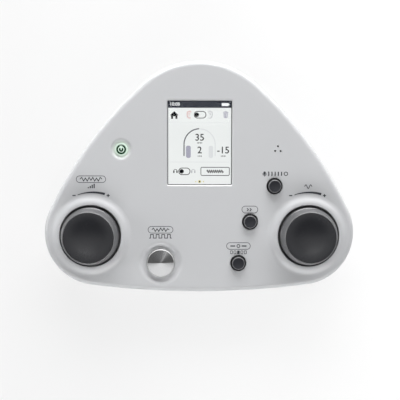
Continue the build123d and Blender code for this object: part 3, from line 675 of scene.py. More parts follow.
class Bench:
    """The modelling steps that the pieces share."""

    merge: float = 0.0005

    @staticmethod
    def only(piece: bpy.types.Object) -> None:
        """Selects one object and makes it active.

        Args:
            piece: The object.
        """
        bpy.ops.object.select_all(action="DESELECT")
        piece.select_set(True)
        bpy.context.view_layer.objects.active = piece

    @classmethod
    def started(cls, name: str) -> bpy.types.Object:
        """Names the primitive that was just added, and selects it alone.

        Args:
            name: The name of the object and of its data.

        Returns:
            The object.
        """
        piece = bpy.context.object
        piece.name = piece.data.name = name
        cls.only(piece)
        return piece

    @classmethod
    def meshed(cls, piece: bpy.types.Object, height: Vector) -> bpy.types.Object:
        """Turns an extruded curve or text into a clean mesh.

        Args:
            piece: The curve or the text.
            height: How far its mesh is then moved, in millimetres.

        Returns:
            The object, as a mesh.
        """
        cls.only(piece)
        bpy.ops.object.convert(target="MESH")
        piece = bpy.context.object
        piece.data.transform(Matrix.Translation(height))
        cls.cleaned(piece)
        return piece

    @classmethod
    def cleaned(cls, piece: bpy.types.Object) -> None:
        """Merges doubles and points the faces outwards.

        Args:
            piece: The object, drawn in millimetres.
        """
        cls.only(piece)
        bpy.ops.object.mode_set(mode="EDIT")
        bpy.ops.mesh.select_all(action="SELECT")
        bpy.ops.mesh.remove_doubles(threshold=cls.merge)
        bpy.ops.mesh.normals_make_consistent(inside=False)
        bpy.ops.object.mode_set(mode="OBJECT")

    @staticmethod
    def put(piece: bpy.types.Object, place: Matrix, finish: Finish, body: str, slot: str) -> None:
        """Carries a finished mesh to its place, dresses it and lets it ride on its body.

        Args:
            piece: The object, drawn in millimetres about the origin.
            place: The matrix that carries it to its place.
            finish: Its finish.
            body: The body that it moves with.
            slot: Not used.
        """
        piece.data.transform(place)
        piece.data.materials.clear()
        piece.data.materials.append(finish.material())
        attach(piece, body)
        log.info("%s rides on %s", piece.name, body)


class Drawing:
    """Flat shapes in millimetres, gathered as closed outlines. One outline inside another is a hole."""

    disc_steps: int = 48
    band_steps: int = 32
    corner_steps: int = 8
    least_lean: float = 0.4

    def __init__(self) -> None:
        """Starts with an empty sheet."""
        self.outlines: list[list[Point]] = []

    def shape(self, points: Iterable[Point], at: Point = (0, 0)) -> "Drawing":
        """A closed outline through points."""
        self.outlines.append([(x + at[0], y + at[1]) for x, y in points])
        return self

    def disc(self, radius: float, at: Point = (0, 0)) -> "Drawing":
        """A round outline."""
        turns = [math.tau * step / self.disc_steps for step in range(self.disc_steps)]
        return self.shape([(radius * math.cos(turn), radius * math.sin(turn)) for turn in turns], at)

    def ring(self, radius: float, line: float, at: Point = (0, 0)) -> "Drawing":
        """A round line about a centre."""
        return self.disc(radius + line / 2, at).disc(radius - line / 2, at)

    def block(self, width: float, height: float, at: Point = (0, 0), corner: float = 0.0) -> "Drawing":
        """A rectangle.

        Args:
            width: Its width.
            height: Its height.
            at: Its middle.
            corner: The radius of its corners, or zero for square ones.

        Returns:
            The same drawing.
        """
        if not corner:
            half, tall = width / 2, height / 2
            return self.shape([(-half, -tall), (half, -tall), (half, tall), (-half, tall)], at)
        points = []
        for quarter, (right, top) in enumerate(((1, 1), (-1, 1), (-1, -1), (1, -1))):
            for step in range(self.corner_steps + 1):
                turn = math.pi / 2 * (quarter + step / self.corner_steps)
                x = right * (width / 2 - corner) + corner * math.cos(turn)
                y = top * (height / 2 - corner) + corner * math.sin(turn)
                points.append((x, y))
        return self.shape(points, at)

    def frame(self, width: float, height: float, line: float, at: Point, corner: float) -> "Drawing":
        """The outline of a rounded rectangle, as a line."""
        self.block(width + line, height + line, at, corner + line / 2)
        return self.block(width - line, height - line, at, corner - line / 2)

    def band(
        self, radius: float, start: float, end: float, first: float, last: float, at: Point
    ) -> "Drawing":
        """A curved line that widens outwards.

        Args:
            radius: The radius of its inner edge.
            start: The direction where it starts, in degrees.
            end: The direction where it ends.
            first: Its width at the start.
            last: Its width at the end.
            at: The centre.

        Returns:
            The same drawing.
        """
        inner, outer = [], []
        for step in range(self.band_steps + 1):
            share = step / self.band_steps
            turn = math.radians(start + (end - start) * share)
            wide = radius + first + (last - first) * share
            inner.append((radius * math.cos(turn), radius * math.sin(turn)))
            outer.append((wide * math.cos(turn), wide * math.sin(turn)))
        return self.shape(outer + inner[::-1], at)

    def stroke(self, points: Sequence[Point], line: float, at: Point = (0, 0)) -> "Drawing":
        """A line through points, with mitred corners and square ends.

        Args:
            points: The points, in order.
            line: The line's width.
            at: Where the points' zero lies.

        Returns:
            The same drawing.
        """
        left, right = [], []
        for index, point in enumerate(points):
            here = Vector(point)
            before = here - Vector(points[index - 1]) if index else None
            after = Vector(points[index + 1]) - here if index < len(points) - 1 else None
            onward, arrived = after or before, before or after
            way = (arrived.normalized() + onward.normalized()).normalized()
            side = Vector((-way.y, way.x))
            lean = max(side.dot(Vector((-onward.y, onward.x)).normalized()), self.least_lean)
            reach = side * (line / 2 / lean)
            left.append(tuple(here + reach))
            right.append(tuple(here - reach))
        return self.shape(left + right[::-1], at)

    def cross(self, size: float, line: float, at: Point) -> "Drawing":
        """A plus sign.

        Args:
            size: Its width and height.
            line: The width of its arms.
            at: Its middle.

        Returns:
            The same drawing.
        """
        long, half = size / 2, line / 2
        quarter = [(half, long), (half, half), (long, half)]
        points = []
        for turn in range(4):
            angle = -math.pi / 2 * turn
            cos, sin = round(math.cos(angle)), round(math.sin(angle))
            points += [(x * cos - y * sin, x * sin + y * cos) for x, y in quarter]
        return self.shape(points, at)

    def solid(self, name: str, thick: float, base: float = 0.0) -> bpy.types.Object:
        """Makes the drawing a thin closed solid.

        Args:
            name: The object's name.
            thick: The thickness.
            base: The height of its underside.

        Returns:
            The new mesh object, drawn in millimetres.
        """
        curve = bpy.data.curves.new(name, "CURVE")
        curve.dimensions = "2D"
        curve.fill_mode = "BOTH"
        curve.extrude = thick / 2
        for outline in self.outlines:
            spline = curve.splines.new("POLY")
            spline.points.add(len(outline) - 1)
            for point, (x, y) in zip(spline.points, outline):
                point.co = (x, y, 0, 1)
            spline.use_cyclic_u = True
        piece = bpy.data.objects.new(name, curve)
        bpy.context.scene.collection.objects.link(piece)
        return Bench.meshed(piece, Vector((0, 0, base + thick / 2)))


@dataclass(frozen=True)
class Figures:
    """Plain numbers. The weight is how much fuller their strokes are than the plain font's."""

    name: str
    text: str
    height: float
    at: Point
    weight: float = 0.06
    font_share: float = 1.42
    curve_steps: int = 6

    def solid(self, thick: float, base: float) -> bpy.types.Object:
        """Makes the numbers a thin closed solid.

        Args:
            thick: The thickness.
            base: The height of their underside.

        Returns:
            The new mesh object, drawn in millimetres.
        """
        bpy.ops.object.select_all(action="DESELECT")
        bpy.ops.object.text_add()
        piece = Bench.started(self.name)
        piece.data.body = self.text
        piece.data.align_x = piece.data.align_y = "CENTER"
        piece.data.size = self.height * self.font_share
        piece.data.extrude = thick / 2
        piece.data.offset = self.weight
        piece.data.resolution_u = self.curve_steps
        return Bench.meshed(piece, Vector((*self.at, base + thick / 2)))


class Palette(Enum):
    """The finishes of the instrument."""

    BASE = Moulding(
        "base_moulding", (0.40, 0.405, 0.415), roughness=0.50, grain=0.6, grain_depth=0.03, mottling=0.02
    )
    SOFT = Moulding(
        "soft_touch_cap", (0.005, 0.0055, 0.0080), roughness=0.26, grain=0.5, grain_depth=0.016,
        mottling=0.06, gloss=0.62,
    )
    FELT = Moulding(
        "black_felt", (0.006, 0.006, 0.006), roughness=0.95, grain=0.6, grain_depth=0.06, mottling=0.2
    )
    RUBBER = Moulding(
        "black_rubber", (0.022, 0.022, 0.024), roughness=0.75, grain=0.8, grain_depth=0.05, mottling=0.1
    )
    PLASTIC = Moulding(
        "black_moulding", (0.025, 0.025, 0.027), roughness=0.38, grain=0.5, grain_depth=0.015, mottling=0.05
    )
    SOCKET = Moulding(
        "ivory_moulding", (0.72, 0.69, 0.60), roughness=0.4, grain=0.5, grain_depth=0.015, mottling=0.03
    )
    WRAP = Moulding(
        "blue_shrink_wrap", (0.04, 0.10, 0.32), roughness=0.25, grain=3.0, grain_depth=0.12, mottling=0.06
    )
    STEEL = Metal("zinc_plate", (0.58, 0.58, 0.56), roughness=0.32)
    NICKEL = Metal("nickel_plate", (0.70, 0.69, 0.67), roughness=0.2)
    BRASS = Metal("spring_brass", (0.72, 0.55, 0.24), roughness=0.28)
    PRESSED = Metal("pressed_frame", (0.55, 0.55, 0.56), roughness=0.35, cut=Cut.BRUSHED)
    ANODISED = Metal("black_anodised", (0.05, 0.05, 0.055), roughness=0.42, cut=Cut.BRUSHED)
    GLASS = Pane("clear_pane", (0.96, 0.98, 0.98))
    RESIST = Board("solder_resist", (0.02, 0.13, 0.055))
    RIBBON = Film("ribbon_film", (0.34, 0.16, 0.04))
    LAMP = Lit("lamp_lens", (0.20, 0.85, 0.30), strength=1.5)
    GLOW = Lit("glowing_button", shade(212, 230, 217), strength=0.6, unlit=0.5, roughness=0.3, gloss=0.5)
    INK = Moulding(
        "print_ink", shade(44, 46, 52), roughness=0.55, grain=0.3, grain_depth=0.002, mottling=0.04
    )
    FINE_INK = Moulding(
        "fine_print_ink", shade(68, 70, 76), roughness=0.55, grain=0.3, grain_depth=0.002, mottling=0.04
    )
    GREEN_INK = Moulding(
        "green_ink", (0.002, 0.042, 0.013), roughness=0.7, grain=0.3, grain_depth=0.002, mottling=0.04,
        gloss=0.1,
    )
    RED_MARK = Moulding("red_mark", (0.45, 0.03, 0.03), grain=0.4, grain_depth=0.01, mottling=0.04)
    BLUE_MARK = Moulding("blue_mark", (0.03, 0.10, 0.42), grain=0.4, grain_depth=0.01, mottling=0.04)
    GREY_MARK = Moulding("grey_mark", (0.32, 0.32, 0.33), grain=0.4, grain_depth=0.01, mottling=0.04)
    SCREEN_GROUND = Screen("screen_ground", shade(240, 241, 240))
    SCREEN_BAR = Screen("screen_bar", shade(44, 48, 58))
    SCREEN_DARK = Screen("screen_dark", shade(14, 14, 18))
    SCREEN_GREY = Screen("screen_grey", shade(104, 105, 110))
    SCREEN_FAINT = Screen("screen_faint", shade(186, 186, 190))
    SCREEN_PALE = Screen("screen_pale", shade(224, 225, 226))
    SCREEN_LILAC = Screen("screen_lilac", shade(170, 168, 184))
    SCREEN_RED = Screen("screen_red", shade(214, 150, 146))
    SCREEN_WHITE = Screen("screen_white", shade(252, 252, 252))
    SCREEN_AMBER = Screen("screen_amber", shade(226, 214, 150))


NODE_FINISHES = {
    Palette.BASE: ["lower_cover", "battery_door"],
    Palette.SOFT: ["left_dial_cap", "right_dial_cap"],
    Palette.FELT: ["microphone_capsule"],
    Palette.RUBBER: ["rubber_feet", "microphone_boot", "display_gasket"],
    Palette.PLASTIC: [
        "left_phone_jack", "right_phone_jack", "bone_jack", "response_jack", "main_board_parts",
        "key_switches", "stimulus_switch", "power_switch", "stimulus_carrier",
    ],
    Palette.SOCKET: ["ribbon_sockets"],
    Palette.WRAP: ["battery_pack"],
    Palette.STEEL: [
        "case_screws", "plate_screws", "main_board_screws", "door_screws", "bracket_screws",
        "control_board_screws", "display_bracket", "left_dial_clip", "right_dial_clip",
        "left_encoder_body", "right_encoder_body", "left_encoder_shaft", "right_encoder_shaft",
    ],
    Palette.NICKEL: ["jack_nuts", "usb_port", "left_encoder_nut", "right_encoder_nut"],
    Palette.BRASS: ["battery_contacts"],
    Palette.PRESSED: ["display_module"],
    Palette.ANODISED: ["connector_plate"],
    Palette.RESIST: ["main_board", "control_board"],
    Palette.RIBBON: ["display_ribbon", "board_ribbon"],
    Palette.LAMP: ["power_lamp"],
    Palette.GLOW: ["power_button"],
}


@dataclass
class CaseFinish:
    """Dresses the pieces that the frame brings. A band that starts below zero covers its centre too."""

    dials: tuple[str, ...] = ("left_dial_turn", "right_dial_turn")
    keys: tuple[str, ...] = ("talk_press", "shift_press", "store_press")
    centre: float = -1.0
    cover_colour: Colour = (0.570, 0.577, 0.590)
    cover_roughness: float = 0.38
    well_radius: float = 23.75
    # Painted shade: the dark colour of the wells round the dials, where shade falls in them.
    well_painted_shade: Colour = (0.17, 0.17, 0.175)
    glow_radius: float = 5.2
    glow_fade: float = 2.6
    # Painted light: the cover round the power button is coloured pale green, as if lit by the button.
    glow_painted_light: Colour = (0.70, 0.78, 0.71)
    key_colour: Colour = (0.028, 0.029, 0.034)
    lip_inner: float = 4.4
    lip_outer: float = 4.9
    # Painted highlight: a pale ring of colour on each key's lip.
    lip_painted_highlight: Colour = (0.16, 0.16, 0.165)
    flank_inner: float = 5.05
    flank_outer: float = 6.5
    # Painted shade: each key's flank is coloured nearly black.
    flank_painted_shade: Colour = (0.007, 0.007, 0.008)
    skirt_colour: Colour = (0.125, 0.125, 0.13)
    rim_inner: float = 19.35
    rim_outer: float = 19.9
    # Painted highlight: a pale line of colour along each skirt's rim.
    rim_painted_highlight: Colour = (0.21, 0.21, 0.215)
    disc_colour: Colour = (0.75, 0.755, 0.76)

    def dress(self) -> None:
        """Gives every node its finish."""
        disc = TurnedDisc("turned_aluminium", self.disc_colour, self.axis("stimulus_press"))
        own = {
            "upper_cover": self.cover(),
            "talk_button": self.key(),
            "shift_button": self.key(),
            "store_button": self.key(),
            "left_dial_skirt": self.skirt(),
            "right_dial_skirt": self.skirt(),
            "stimulus_cap": disc,
        }
        shared = {name: choice.value for choice, names in NODE_FINISHES.items() for name in names}
        for name, finish in (shared | own).items():
            self.apply(frame["nodes"][name], finish)

    def bands(self, joints: Iterable[str], **look: Any) -> tuple[Band, ...]:
        """The same band about each of a few joints' axes."""
        return tuple(Band(self.axis(joint), **look) for joint in joints)

    def cover(self) -> Finish:
        """The cover's plastic, with painted shade in the wells round the dials and the power button's glow
        painted on it as pale colour.

        Returns:
            The finish.
        """
        # Painted shade in the wells round the dials.
        wells = self.bands(
            self.dials, inner=self.centre, outer=self.well_radius, colour=self.well_painted_shade, roughness=0.7
        )
        # Painted light round the power button.
        glow = self.bands(
            ["power_press"], inner=self.centre, outer=self.glow_radius, colour=self.glow_painted_light,
            roughness=self.cover_roughness, fade=self.glow_fade,
        )
        return Moulding(
            "case_moulding", self.cover_colour, roughness=self.cover_roughness, grain=0.45,
            grain_depth=0.010, mottling=0.012, bands=wells + glow,
        )

    def key(self) -> Finish:
        """The keys' soft plastic, with a painted highlight on the lip and painted shade on the flank.

        Returns:
            The finish.
        """
        # Painted highlight on the keys' lips.
        lips = self.bands(
            self.keys, inner=self.lip_inner, outer=self.lip_outer, colour=self.lip_painted_highlight, roughness=0.25
        )
        # Painted shade on the keys' flanks.
        flanks = self.bands(
            self.keys, inner=self.flank_inner, outer=self.flank_outer, colour=self.flank_painted_shade,
            roughness=0.8,
        )
        return Moulding(
            "soft_touch_key", self.key_colour, roughness=0.30, grain=0.4, grain_depth=0.012,
            mottling=0.05, gloss=0.16, bands=lips + flanks,
        )

    def skirt(self) -> Finish:
        """The skirts' lacquer, with a painted highlight along the rim.

        Returns:
            The finish.
        """
        # Painted highlight along the skirts' rims.
        rims = self.bands(
            self.dials, inner=self.rim_inner, outer=self.rim_outer, colour=self.rim_painted_highlight, roughness=0.3
        )
        return Lacquer("skirt_lacquer", self.skirt_colour, roughness=0.34, bands=rims)

    @staticmethod
    def axis(joint: str) -> Point3:
        """A place on a joint's axis."""
        return tuple(next(each for each in frame["joints"] if each["name"] == joint)["pos_m"])

    @staticmethod
    def apply(piece: bpy.types.Object, finish: Finish) -> None:
        """Puts a finish in each of an object's material slots.

        Args:
            piece: The object.
            finish: The finish.
        """
        for slot in piece.material_slots:
            slot.material = finish.material()
        log.info("%s has the finish %s", piece.name, finish.name)


class PanelSigns(Drawing):
    """The small pictures beside the keys and the dials, in strokes of one width."""

    line: float = 0.6
    bar_share: float = 0.62
    wave_steps: int = 30

    def zigzag(self, width: float, height: float, turns: int, at: Point) -> None:
        """A noise sign: an uneven zigzag.

        Args:
            width: Its width.
            height: Its height at the tallest.
            turns: How many strokes it has.
            at: Its middle.
        """
        points = [(-width / 2, 0.0)]
        for step in range(1, turns):
            tall = height / 2 * (1.0 if step % 3 else 0.6)
            points.append((width * (step / turns - 0.5), tall if step % 2 else -tall))
        self.stroke(points + [(width / 2, 0.0)], self.line, at)

    def bars(self, width: float, height: float, count: int, at: Point) -> None:
        """A level sign: rising bars.

        Args:
            width: The width of all the bars.
            height: The height of the last one.
            count: How many there are.
            at: The middle of the sign.
        """
        pitch = width / count
        for step in range(count):
            tall = height * (step + 1) / count
            place = (at[0] + pitch * (step - (count - 1) / 2), at[1] + (tall - height) / 2)
            self.block(pitch * self.bar_share, tall, place)

    def sine(self, width: float, height: float, turns: float, at: Point) -> None:
        """A pitch sign: a sine wave.

        Args:
            width: Its width.
            height: Its height.
            turns: How many waves it has.
            at: Its middle.
        """
        shares = [step / self.wave_steps for step in range(self.wave_steps + 1)]
        points = [
            (width * (share - 0.5), height / 2 * math.sin(math.tau * turns * share)) for share in shares
        ]
        self.stroke(points, self.line, at)

    def pulses(self, width: float, height: float, count: int, at: Point) -> None:
        """A tone sign: a train of square pulses.

        Args:
            width: Its width.
            height: Its height.
            count: How many pulses it has.
            at: Its middle.
        """
        pitch, foot, top = width / count, -height / 2, height / 2
        points = [(-width / 2, foot)]
        for step in range(count):
            left = -width / 2 + pitch * (step + 0.25)
            right = left + pitch / 2
            points += [(left, foot), (left, top), (right, top), (right, foot)]
        self.stroke(points + [(width / 2, foot)], self.line, at)

    def chevrons(self, size: float, count: int, at: Point) -> None:
        """A shift sign: chevrons that point to the right.

        Args:
            size: The height of one, and how far apart they are.
            count: How many there are.
            at: The middle of the sign.
        """
        for step in range(count):
            tail = size * (step - count / 2)
            self.stroke([(tail, size / 2), (tail + size / 2, 0), (tail, -size / 2)], self.line, at)

    def unanswered(self, at: Point) -> None:
        """A no-answer sign: a ring between two short dashes.

        Args:
            at: Its middle.
        """
        self.ring(1.15, self.line, at)
        for side in (-1, 1):
            self.block(3.8, 0.9, (at[0] + side * 4.4, at[1]))

    def cells(self, pitch: float, at: Point) -> None:
        """A keep sign: a row of five cells with the middle one full.

        Args:
            pitch: How far apart the cells are.
            at: The middle of the row.
        """
        for step in range(-2, 3):
            place = (at[0] + pitch * step, at[1])
            if step:
                self.frame(1.6, 2.3, 0.42, place, corner=0.3)
            else:
                self.block(2.0, 2.7, place, corner=0.3)

    def talk(self, at: Point) -> None:
        """A talk sign: a microphone, its waves and an ear cup.

        Args:
            at: Its middle.
        """
        mouth, spread, ear = 8.3, 8.6, 8.2
        self.block(1.9, 2.6, (at[0] - mouth, at[1] + 0.5), corner=0.9)
        cradle = [(-1.5, 0.3), (-1.1, -0.9), (0.0, -1.4), (1.1, -0.9), (1.5, 0.3)]
        self.stroke(cradle, 0.45, (at[0] - mouth, at[1]))
        self.block(0.5, 0.7, (at[0] - mouth, at[1] - 1.8))
        half_wave, wave_line = 1.5, 0.85
        for step in range(5):
            radius = 3.2 + 2.45 * step
            turn = math.degrees(math.asin(half_wave / radius))
            self.band(radius, turn, -turn, wave_line, wave_line, (at[0] - spread, at[1]))
        self.ring(1.35, self.line, (at[0] + ear, at[1]))


@dataclass
class PanelPrint:
    """The marks printed on the face: level arcs, signs, key outlines and pictograms."""

    body: str = "case"
    slot: str = "component_black"
    film: float = 0.06
    sunk: float = 0.03
    dial_across: float = 83.6
    arc_radius: float = 33.1
    arc_start: float = 108.0
    arc_end: float = 72.0
    arc_thin: float = 0.5
    arc_thick: float = 1.85
    sign_across: float = 13.1
    sign_up: float = 31.25
    sign_size: float = 2.4
    sign_line: float = 0.8
    pill_line: float = 0.45
    level_pill: Point = (-83.6, 16.0)
    level_bars: Point = (-83.4, 10.8)
    pitch_wave: Point = (84.0, 10.4)
    tone_pill: Point = (-30.2, -23.1)
    tone_pulses: Point = (-30.3, -28.2)
    shift_pill: Point = (38.9, -7.4)
    store_pill: Point = (30.2, -35.8)
    store_cells: Point = (30.2, -40.7)
    talk_sign: Point = (58.4, 20.3)

    def build(self) -> None:
        """Prints every mark."""
        for side, across in (("left", -self.dial_across), ("right", self.dial_across)):
            self.level_mark(side, across)
        self.pills()
        self.pictograms()

    def level_mark(self, side: str, across: float) -> None:
        """The tapered arc of one dial, with a minus and a plus sign.

        Args:
            side: The side's name, left or right.
            across: The dial's place from side to side.
        """
        at = (across, Panel.dial_up)
        ink = Drawing()
        ink.band(self.arc_radius, self.arc_start, self.arc_end, self.arc_thin, self.arc_thick, at)
        signs = at[1] + self.sign_up
        ink.block(self.sign_size, self.sign_line, (across - self.sign_across, signs))
        ink.cross(self.sign_size, self.sign_line, (across + self.sign_across, signs))
        self.print(ink, f"{side}_level_mark", Palette.INK)

    def pills(self) -> None:
        """The rounded outlines that mark each key's second use."""
        ink = Drawing()
        for width, height, at in (
            (22.6, 5.1, self.level_pill),
            (12.3, 5.3, self.shift_pill),
            (18.4, 5.2, self.store_pill),
            (19.2, 5.2, self.tone_pill),
        ):
            ink.frame(width, height, self.pill_line, at, height / 2)
        self.print(ink, "second_use_outlines", Palette.FINE_INK)

    def pictograms(self) -> None:
        """The pictures above and below the pills."""
        ink = PanelSigns()
        ink.zigzag(width=17.0, height=2.8, turns=12, at=self.level_pill)
        ink.bars(width=5.9, height=3.5, count=4, at=self.level_bars)
        ink.sine(width=5.6, height=2.8, turns=1.5, at=self.pitch_wave)
        ink.zigzag(width=13.5, height=2.6, turns=10, at=self.tone_pill)
        ink.pulses(width=17.5, height=2.8, count=4, at=self.tone_pulses)
        ink.chevrons(size=2.2, count=2, at=self.shift_pill)
        ink.unanswered(self.store_pill)
        ink.cells(pitch=2.7, at=self.store_cells)
        ink.talk(self.talk_sign)
        self.print(ink, "key_pictograms", Palette.INK)

    def print(self, ink: Drawing, name: str, finish: Palette) -> None:
        """Lays a drawing on the face as a film of ink."""
        piece = ink.solid(name, self.film, -self.sunk)
        Bench.put(piece, Panel.matrix(), finish.value, self.body, self.slot)


class ScreenSigns(Drawing):
    """The small signs of the display's picture."""

    home_share: Point = (1.2, 1.15)
    switch_height: float = 5.1
    switch_line: float = 0.55
    switch_corner: float = 2.5
    knob: float = 1.7

    def home(self, at: Point) -> None:
        """A house with an open door.

        Args:
            at: Its middle.
        """
        wide, tall = self.home_share
        house = [(-2.7, -0.2), (0, 2.5), (2.7, -0.2), (2.0, -0.2), (2.0, -2.6), (0.8, -2.6)]
        house += [(0.8, -0.9), (-0.8, -0.9), (-0.8, -2.6), (-2.0, -2.6), (-2.0, -0.2)]
        self.shape([(x * wide, y * tall) for x, y in house], at)

    def switch(self, width: float, throw: float, at: Point) -> None:
        """A slide switch with its knob to the left."""
        self.disc(self.knob, (at[0] - throw, at[1]))
        self.frame(width, self.switch_height, self.switch_line, at, self.switch_corner)

    def ear(self, at: Point, side: int) -> None:
        """An ear in two strokes.

        Args:
            at: Its middle.
            side: The side that its back is turned to, -1 for the left and 1 for the right.
        """
        rim = [(-1.3, 1.8), (-0.5, 2.7), (0.7, 2.7), (1.7, 1.8), (2.0, 0.3)]
        rim += [(1.6, -1.2), (0.8, -2.4), (-0.2, -2.7), (-0.8, -2.1)]
        fold = [(-0.6, 1.0), (0.2, 1.3), (0.7, 0.5), (0.1, -0.6)]
        for points, width in ((rim, 0.5), (fold, 0.45)):
            self.stroke([(x * side, y) for x, y in points], width, at)

    def headset(self, at: Point) -> None:
        """A headset: two cups and a headband.

        Args:
            at: The centre of the headband.
        """
        radius, line = 1.2, 0.4
        for side in (-1, 1):
            self.block(1.0, 2.2, (at[0] + side * radius, at[1] - 0.3), corner=0.4)
        self.band(radius, 160, 20, line, line, at)

    def soft_key(self, at: Point) -> None:
        """A key on the screen with a wave in it.

        Args:
            at: Its middle.
        """
        steps, wavelength_steps, width = 60, 7.5, 12.8
        self.frame(22.0, 6.3, 0.5, at, corner=0.9)
        wave = [
            (width * (step / steps - 0.5), math.sin(math.tau * step / wavelength_steps))
            for step in range(steps + 1)
        ]
        self.stroke(wave, 0.55, at)

    def bin(self, at: Point) -> None:
        """A waste bin, with its lid and the slots in its side.

        Args:
            at: Its middle.
        """
        self.shape([(-1.7, 1.3), (-1.35, -2.3), (1.35, -2.3), (1.7, 1.3)], at)
        self.block(4.2, 0.55, (at[0], at[1] + 1.95))
        self.block(1.6, 0.5, (at[0], at[1] + 2.5))
        for across in (-0.62, 0.62):
            self.block(0.42, 2.6, (at[0] + across, at[1] - 0.45))

    def unit(self, count: int, at: Point) -> None:
        """A unit mark: a row of small ticks.

        Args:
            count: How many ticks it has.
            at: Its middle.
        """
        short, tall, pitch = 0.7, 1.1, 0.85
        for step in range(count):
            place = (at[0] + pitch * (step - (count - 1) / 2), at[1])
            self.block(0.45, tall if step % 2 else short, place)


@dataclass
class Display:
    """The display: a lit picture on the module, and the pane over it."""

    body: str = "case"
    slot: str = "display_metal"
    window_up: float = 44.0
    module_depth: float = 3.0
    layer: float = 0.05
    width: float = 49.2
    length: float = 64.4
    pane_width: float = 56.0
    pane_length: float = 71.2
    pane_thick: float = 0.75
    pane_bevel: float = 0.12
    pane_over: float = 1.0
    bar_height: float = 5.3
    battery_across: float = 19.6
    battery_pin: float = 22.7
    battery_drop: float = 0.1
    divider: float = 0.3
    divider_margin: float = 3.0
    divider_ups: Point = (15.5, -14.8)
    top_row: float = 21.6
    low_row: float = -22.0
    dots_up: float = -29.9
    dots_pitch: float = 3.0
    ear_across: float = 7.8
    band_radius: float = 11.6
    band_up: float = -1.2
    band_line: float = 0.9
    idle_line: float = 0.7
    stem: float = 9.0
    cup_length: float = 9.4
    cup_across: float = 8.7
    cup_up: float = -6.9
    cup_corner: float = 1.4

    def build(self) -> None:
        """Lights the picture and lays the pane."""
        self.ground()
        self.controls()
        self.headset()
        self.numbers()
        self.pane()

    def show(self, ink: Drawing, name: str, finish: Palette, level: int = 1) -> None:
        """Puts part of the picture on the module, on a layer of its own from 0 upwards."""
        self.place(ink.solid(name, self.layer, self.layer * level), finish)

    def place(self, piece: bpy.types.Object, finish: Palette) -> None:
        """Carries part of the picture to the module's face."""
        place = Panel.matrix(up=self.window_up, height=-self.module_depth)
        Bench.put(piece, place, finish.value, self.body, self.slot)

    def ground(self) -> None:
        """The pale ground, the status bar, its battery sign and the dividing lines."""
        self.show(Drawing().block(self.width, self.length), "picture_ground", Palette.SCREEN_GROUND, 0)
        bar_up = (self.length - self.bar_height) / 2
        bar = Drawing().block(self.width, self.bar_height, (0, bar_up))
        self.show(bar, "picture_status_bar", Palette.SCREEN_BAR)
        sign_up = bar_up - self.battery_drop
        battery = Drawing().block(5.4, 2.3, (self.battery_across, sign_up), corner=0.3)
        battery.block(0.5, 1.1, (self.battery_pin, sign_up))
        self.show(battery, "picture_battery", Palette.SCREEN_WHITE, 2)
        lines = Drawing()
        for up in self.divider_ups:
            lines.block(self.width - self.divider_margin, self.divider, (0, up))
        self.show(lines, "picture_dividers", Palette.SCREEN_PALE)

    def controls(self) -> None:
        """The home sign, the ear signs, the switches, the bin, the soft key and the page dots."""
        dark, grey, red, pail = ScreenSigns(), ScreenSigns(), ScreenSigns(), ScreenSigns()
        dark.home((-19.6, 21.4))
        dark.switch(width=9.0, throw=2.5, at=(0.3, self.top_row))
        dark.switch(width=8.7, throw=2.1, at=(-11.8, self.low_row))
        dark.disc(0.6, (0, self.dots_up))
        dark.soft_key((12.0, self.low_row))
        dark.headset((-18.7, self.low_row + 0.1))
        grey.headset((-4.9, self.low_row + 0.1))
        grey.ear((self.ear_across, self.top_row), 1)
        red.ear((-self.ear_across, self.top_row), -1)
        pail.bin((20.0, 21.5))
        dots = Drawing().ring(0.95, 0.5, (0, self.dots_up))
        for across in (-self.dots_pitch, self.dots_pitch):
            dots.disc(0.5, (across, self.dots_up))
        self.show(dark, "picture_dark_signs", Palette.SCREEN_DARK)
        self.show(grey, "picture_grey_signs", Palette.SCREEN_FAINT)
        self.show(red, "picture_red_sign", Palette.SCREEN_RED)
        self.show(pail, "picture_bin", Palette.SCREEN_LILAC)
        self.show(dots, "picture_page_dots", Palette.SCREEN_AMBER)

    def headset(self) -> None:
        """The large headset: the side in use is dark, and the other is faint."""
        centre, stem_up = (0.0, self.band_up), self.band_up - self.stem / 2
        used = Drawing().band(self.band_radius, 180, 92, self.band_line, self.band_line, centre)
        used_across = self.band_radius + self.band_line / 2
        used.block(self.band_line, self.stem, (-used_across, stem_up), corner=0.4)
        self.show(used, "picture_headband", Palette.SCREEN_GREY)
        cup = Drawing().block(3.7, self.cup_length, (-self.cup_across, self.cup_up), self.cup_corner)
        self.show(cup, "picture_ear_cup", Palette.SCREEN_LILAC)
        idle = Drawing().band(self.band_radius, 88, 0, self.idle_line, self.idle_line, centre)
        idle_across = self.band_radius + self.idle_line / 2
        idle.block(self.idle_line, self.stem, (idle_across, stem_up), corner=0.3)
        idle.block(3.4, self.cup_length, (self.cup_across, self.cup_up), self.cup_corner)
        self.show(idle, "picture_idle_side", Palette.SCREEN_PALE)

    def numbers(self) -> None:
        """The clock, and numbers for the level, the pitch and the second level over their unit marks."""
        for figures, finish in (
            (Figures("picture_clock", "10:08", 2.5, (-19.2, 29.6)), Palette.SCREEN_WHITE),
            (Figures("picture_level", "35", 5.2, (0, 4.0)), Palette.SCREEN_DARK),
            (Figures("picture_pitch", "2", 5.2, (0, -5.8)), Palette.SCREEN_DARK),
            (Figures("picture_second_level", "-15", 5.2, (18.2, -5.8)), Palette.SCREEN_DARK),
        ):
            self.place(figures.solid(self.layer, self.layer * 2), finish)
        units = ScreenSigns()
        for count, at in ((5, (0, 0.0)), (4, (0, -10.2)), (5, (18.4, -10.2))):
            units.unit(count, at)
        self.show(units, "picture_unit_marks", Palette.SCREEN_DARK)

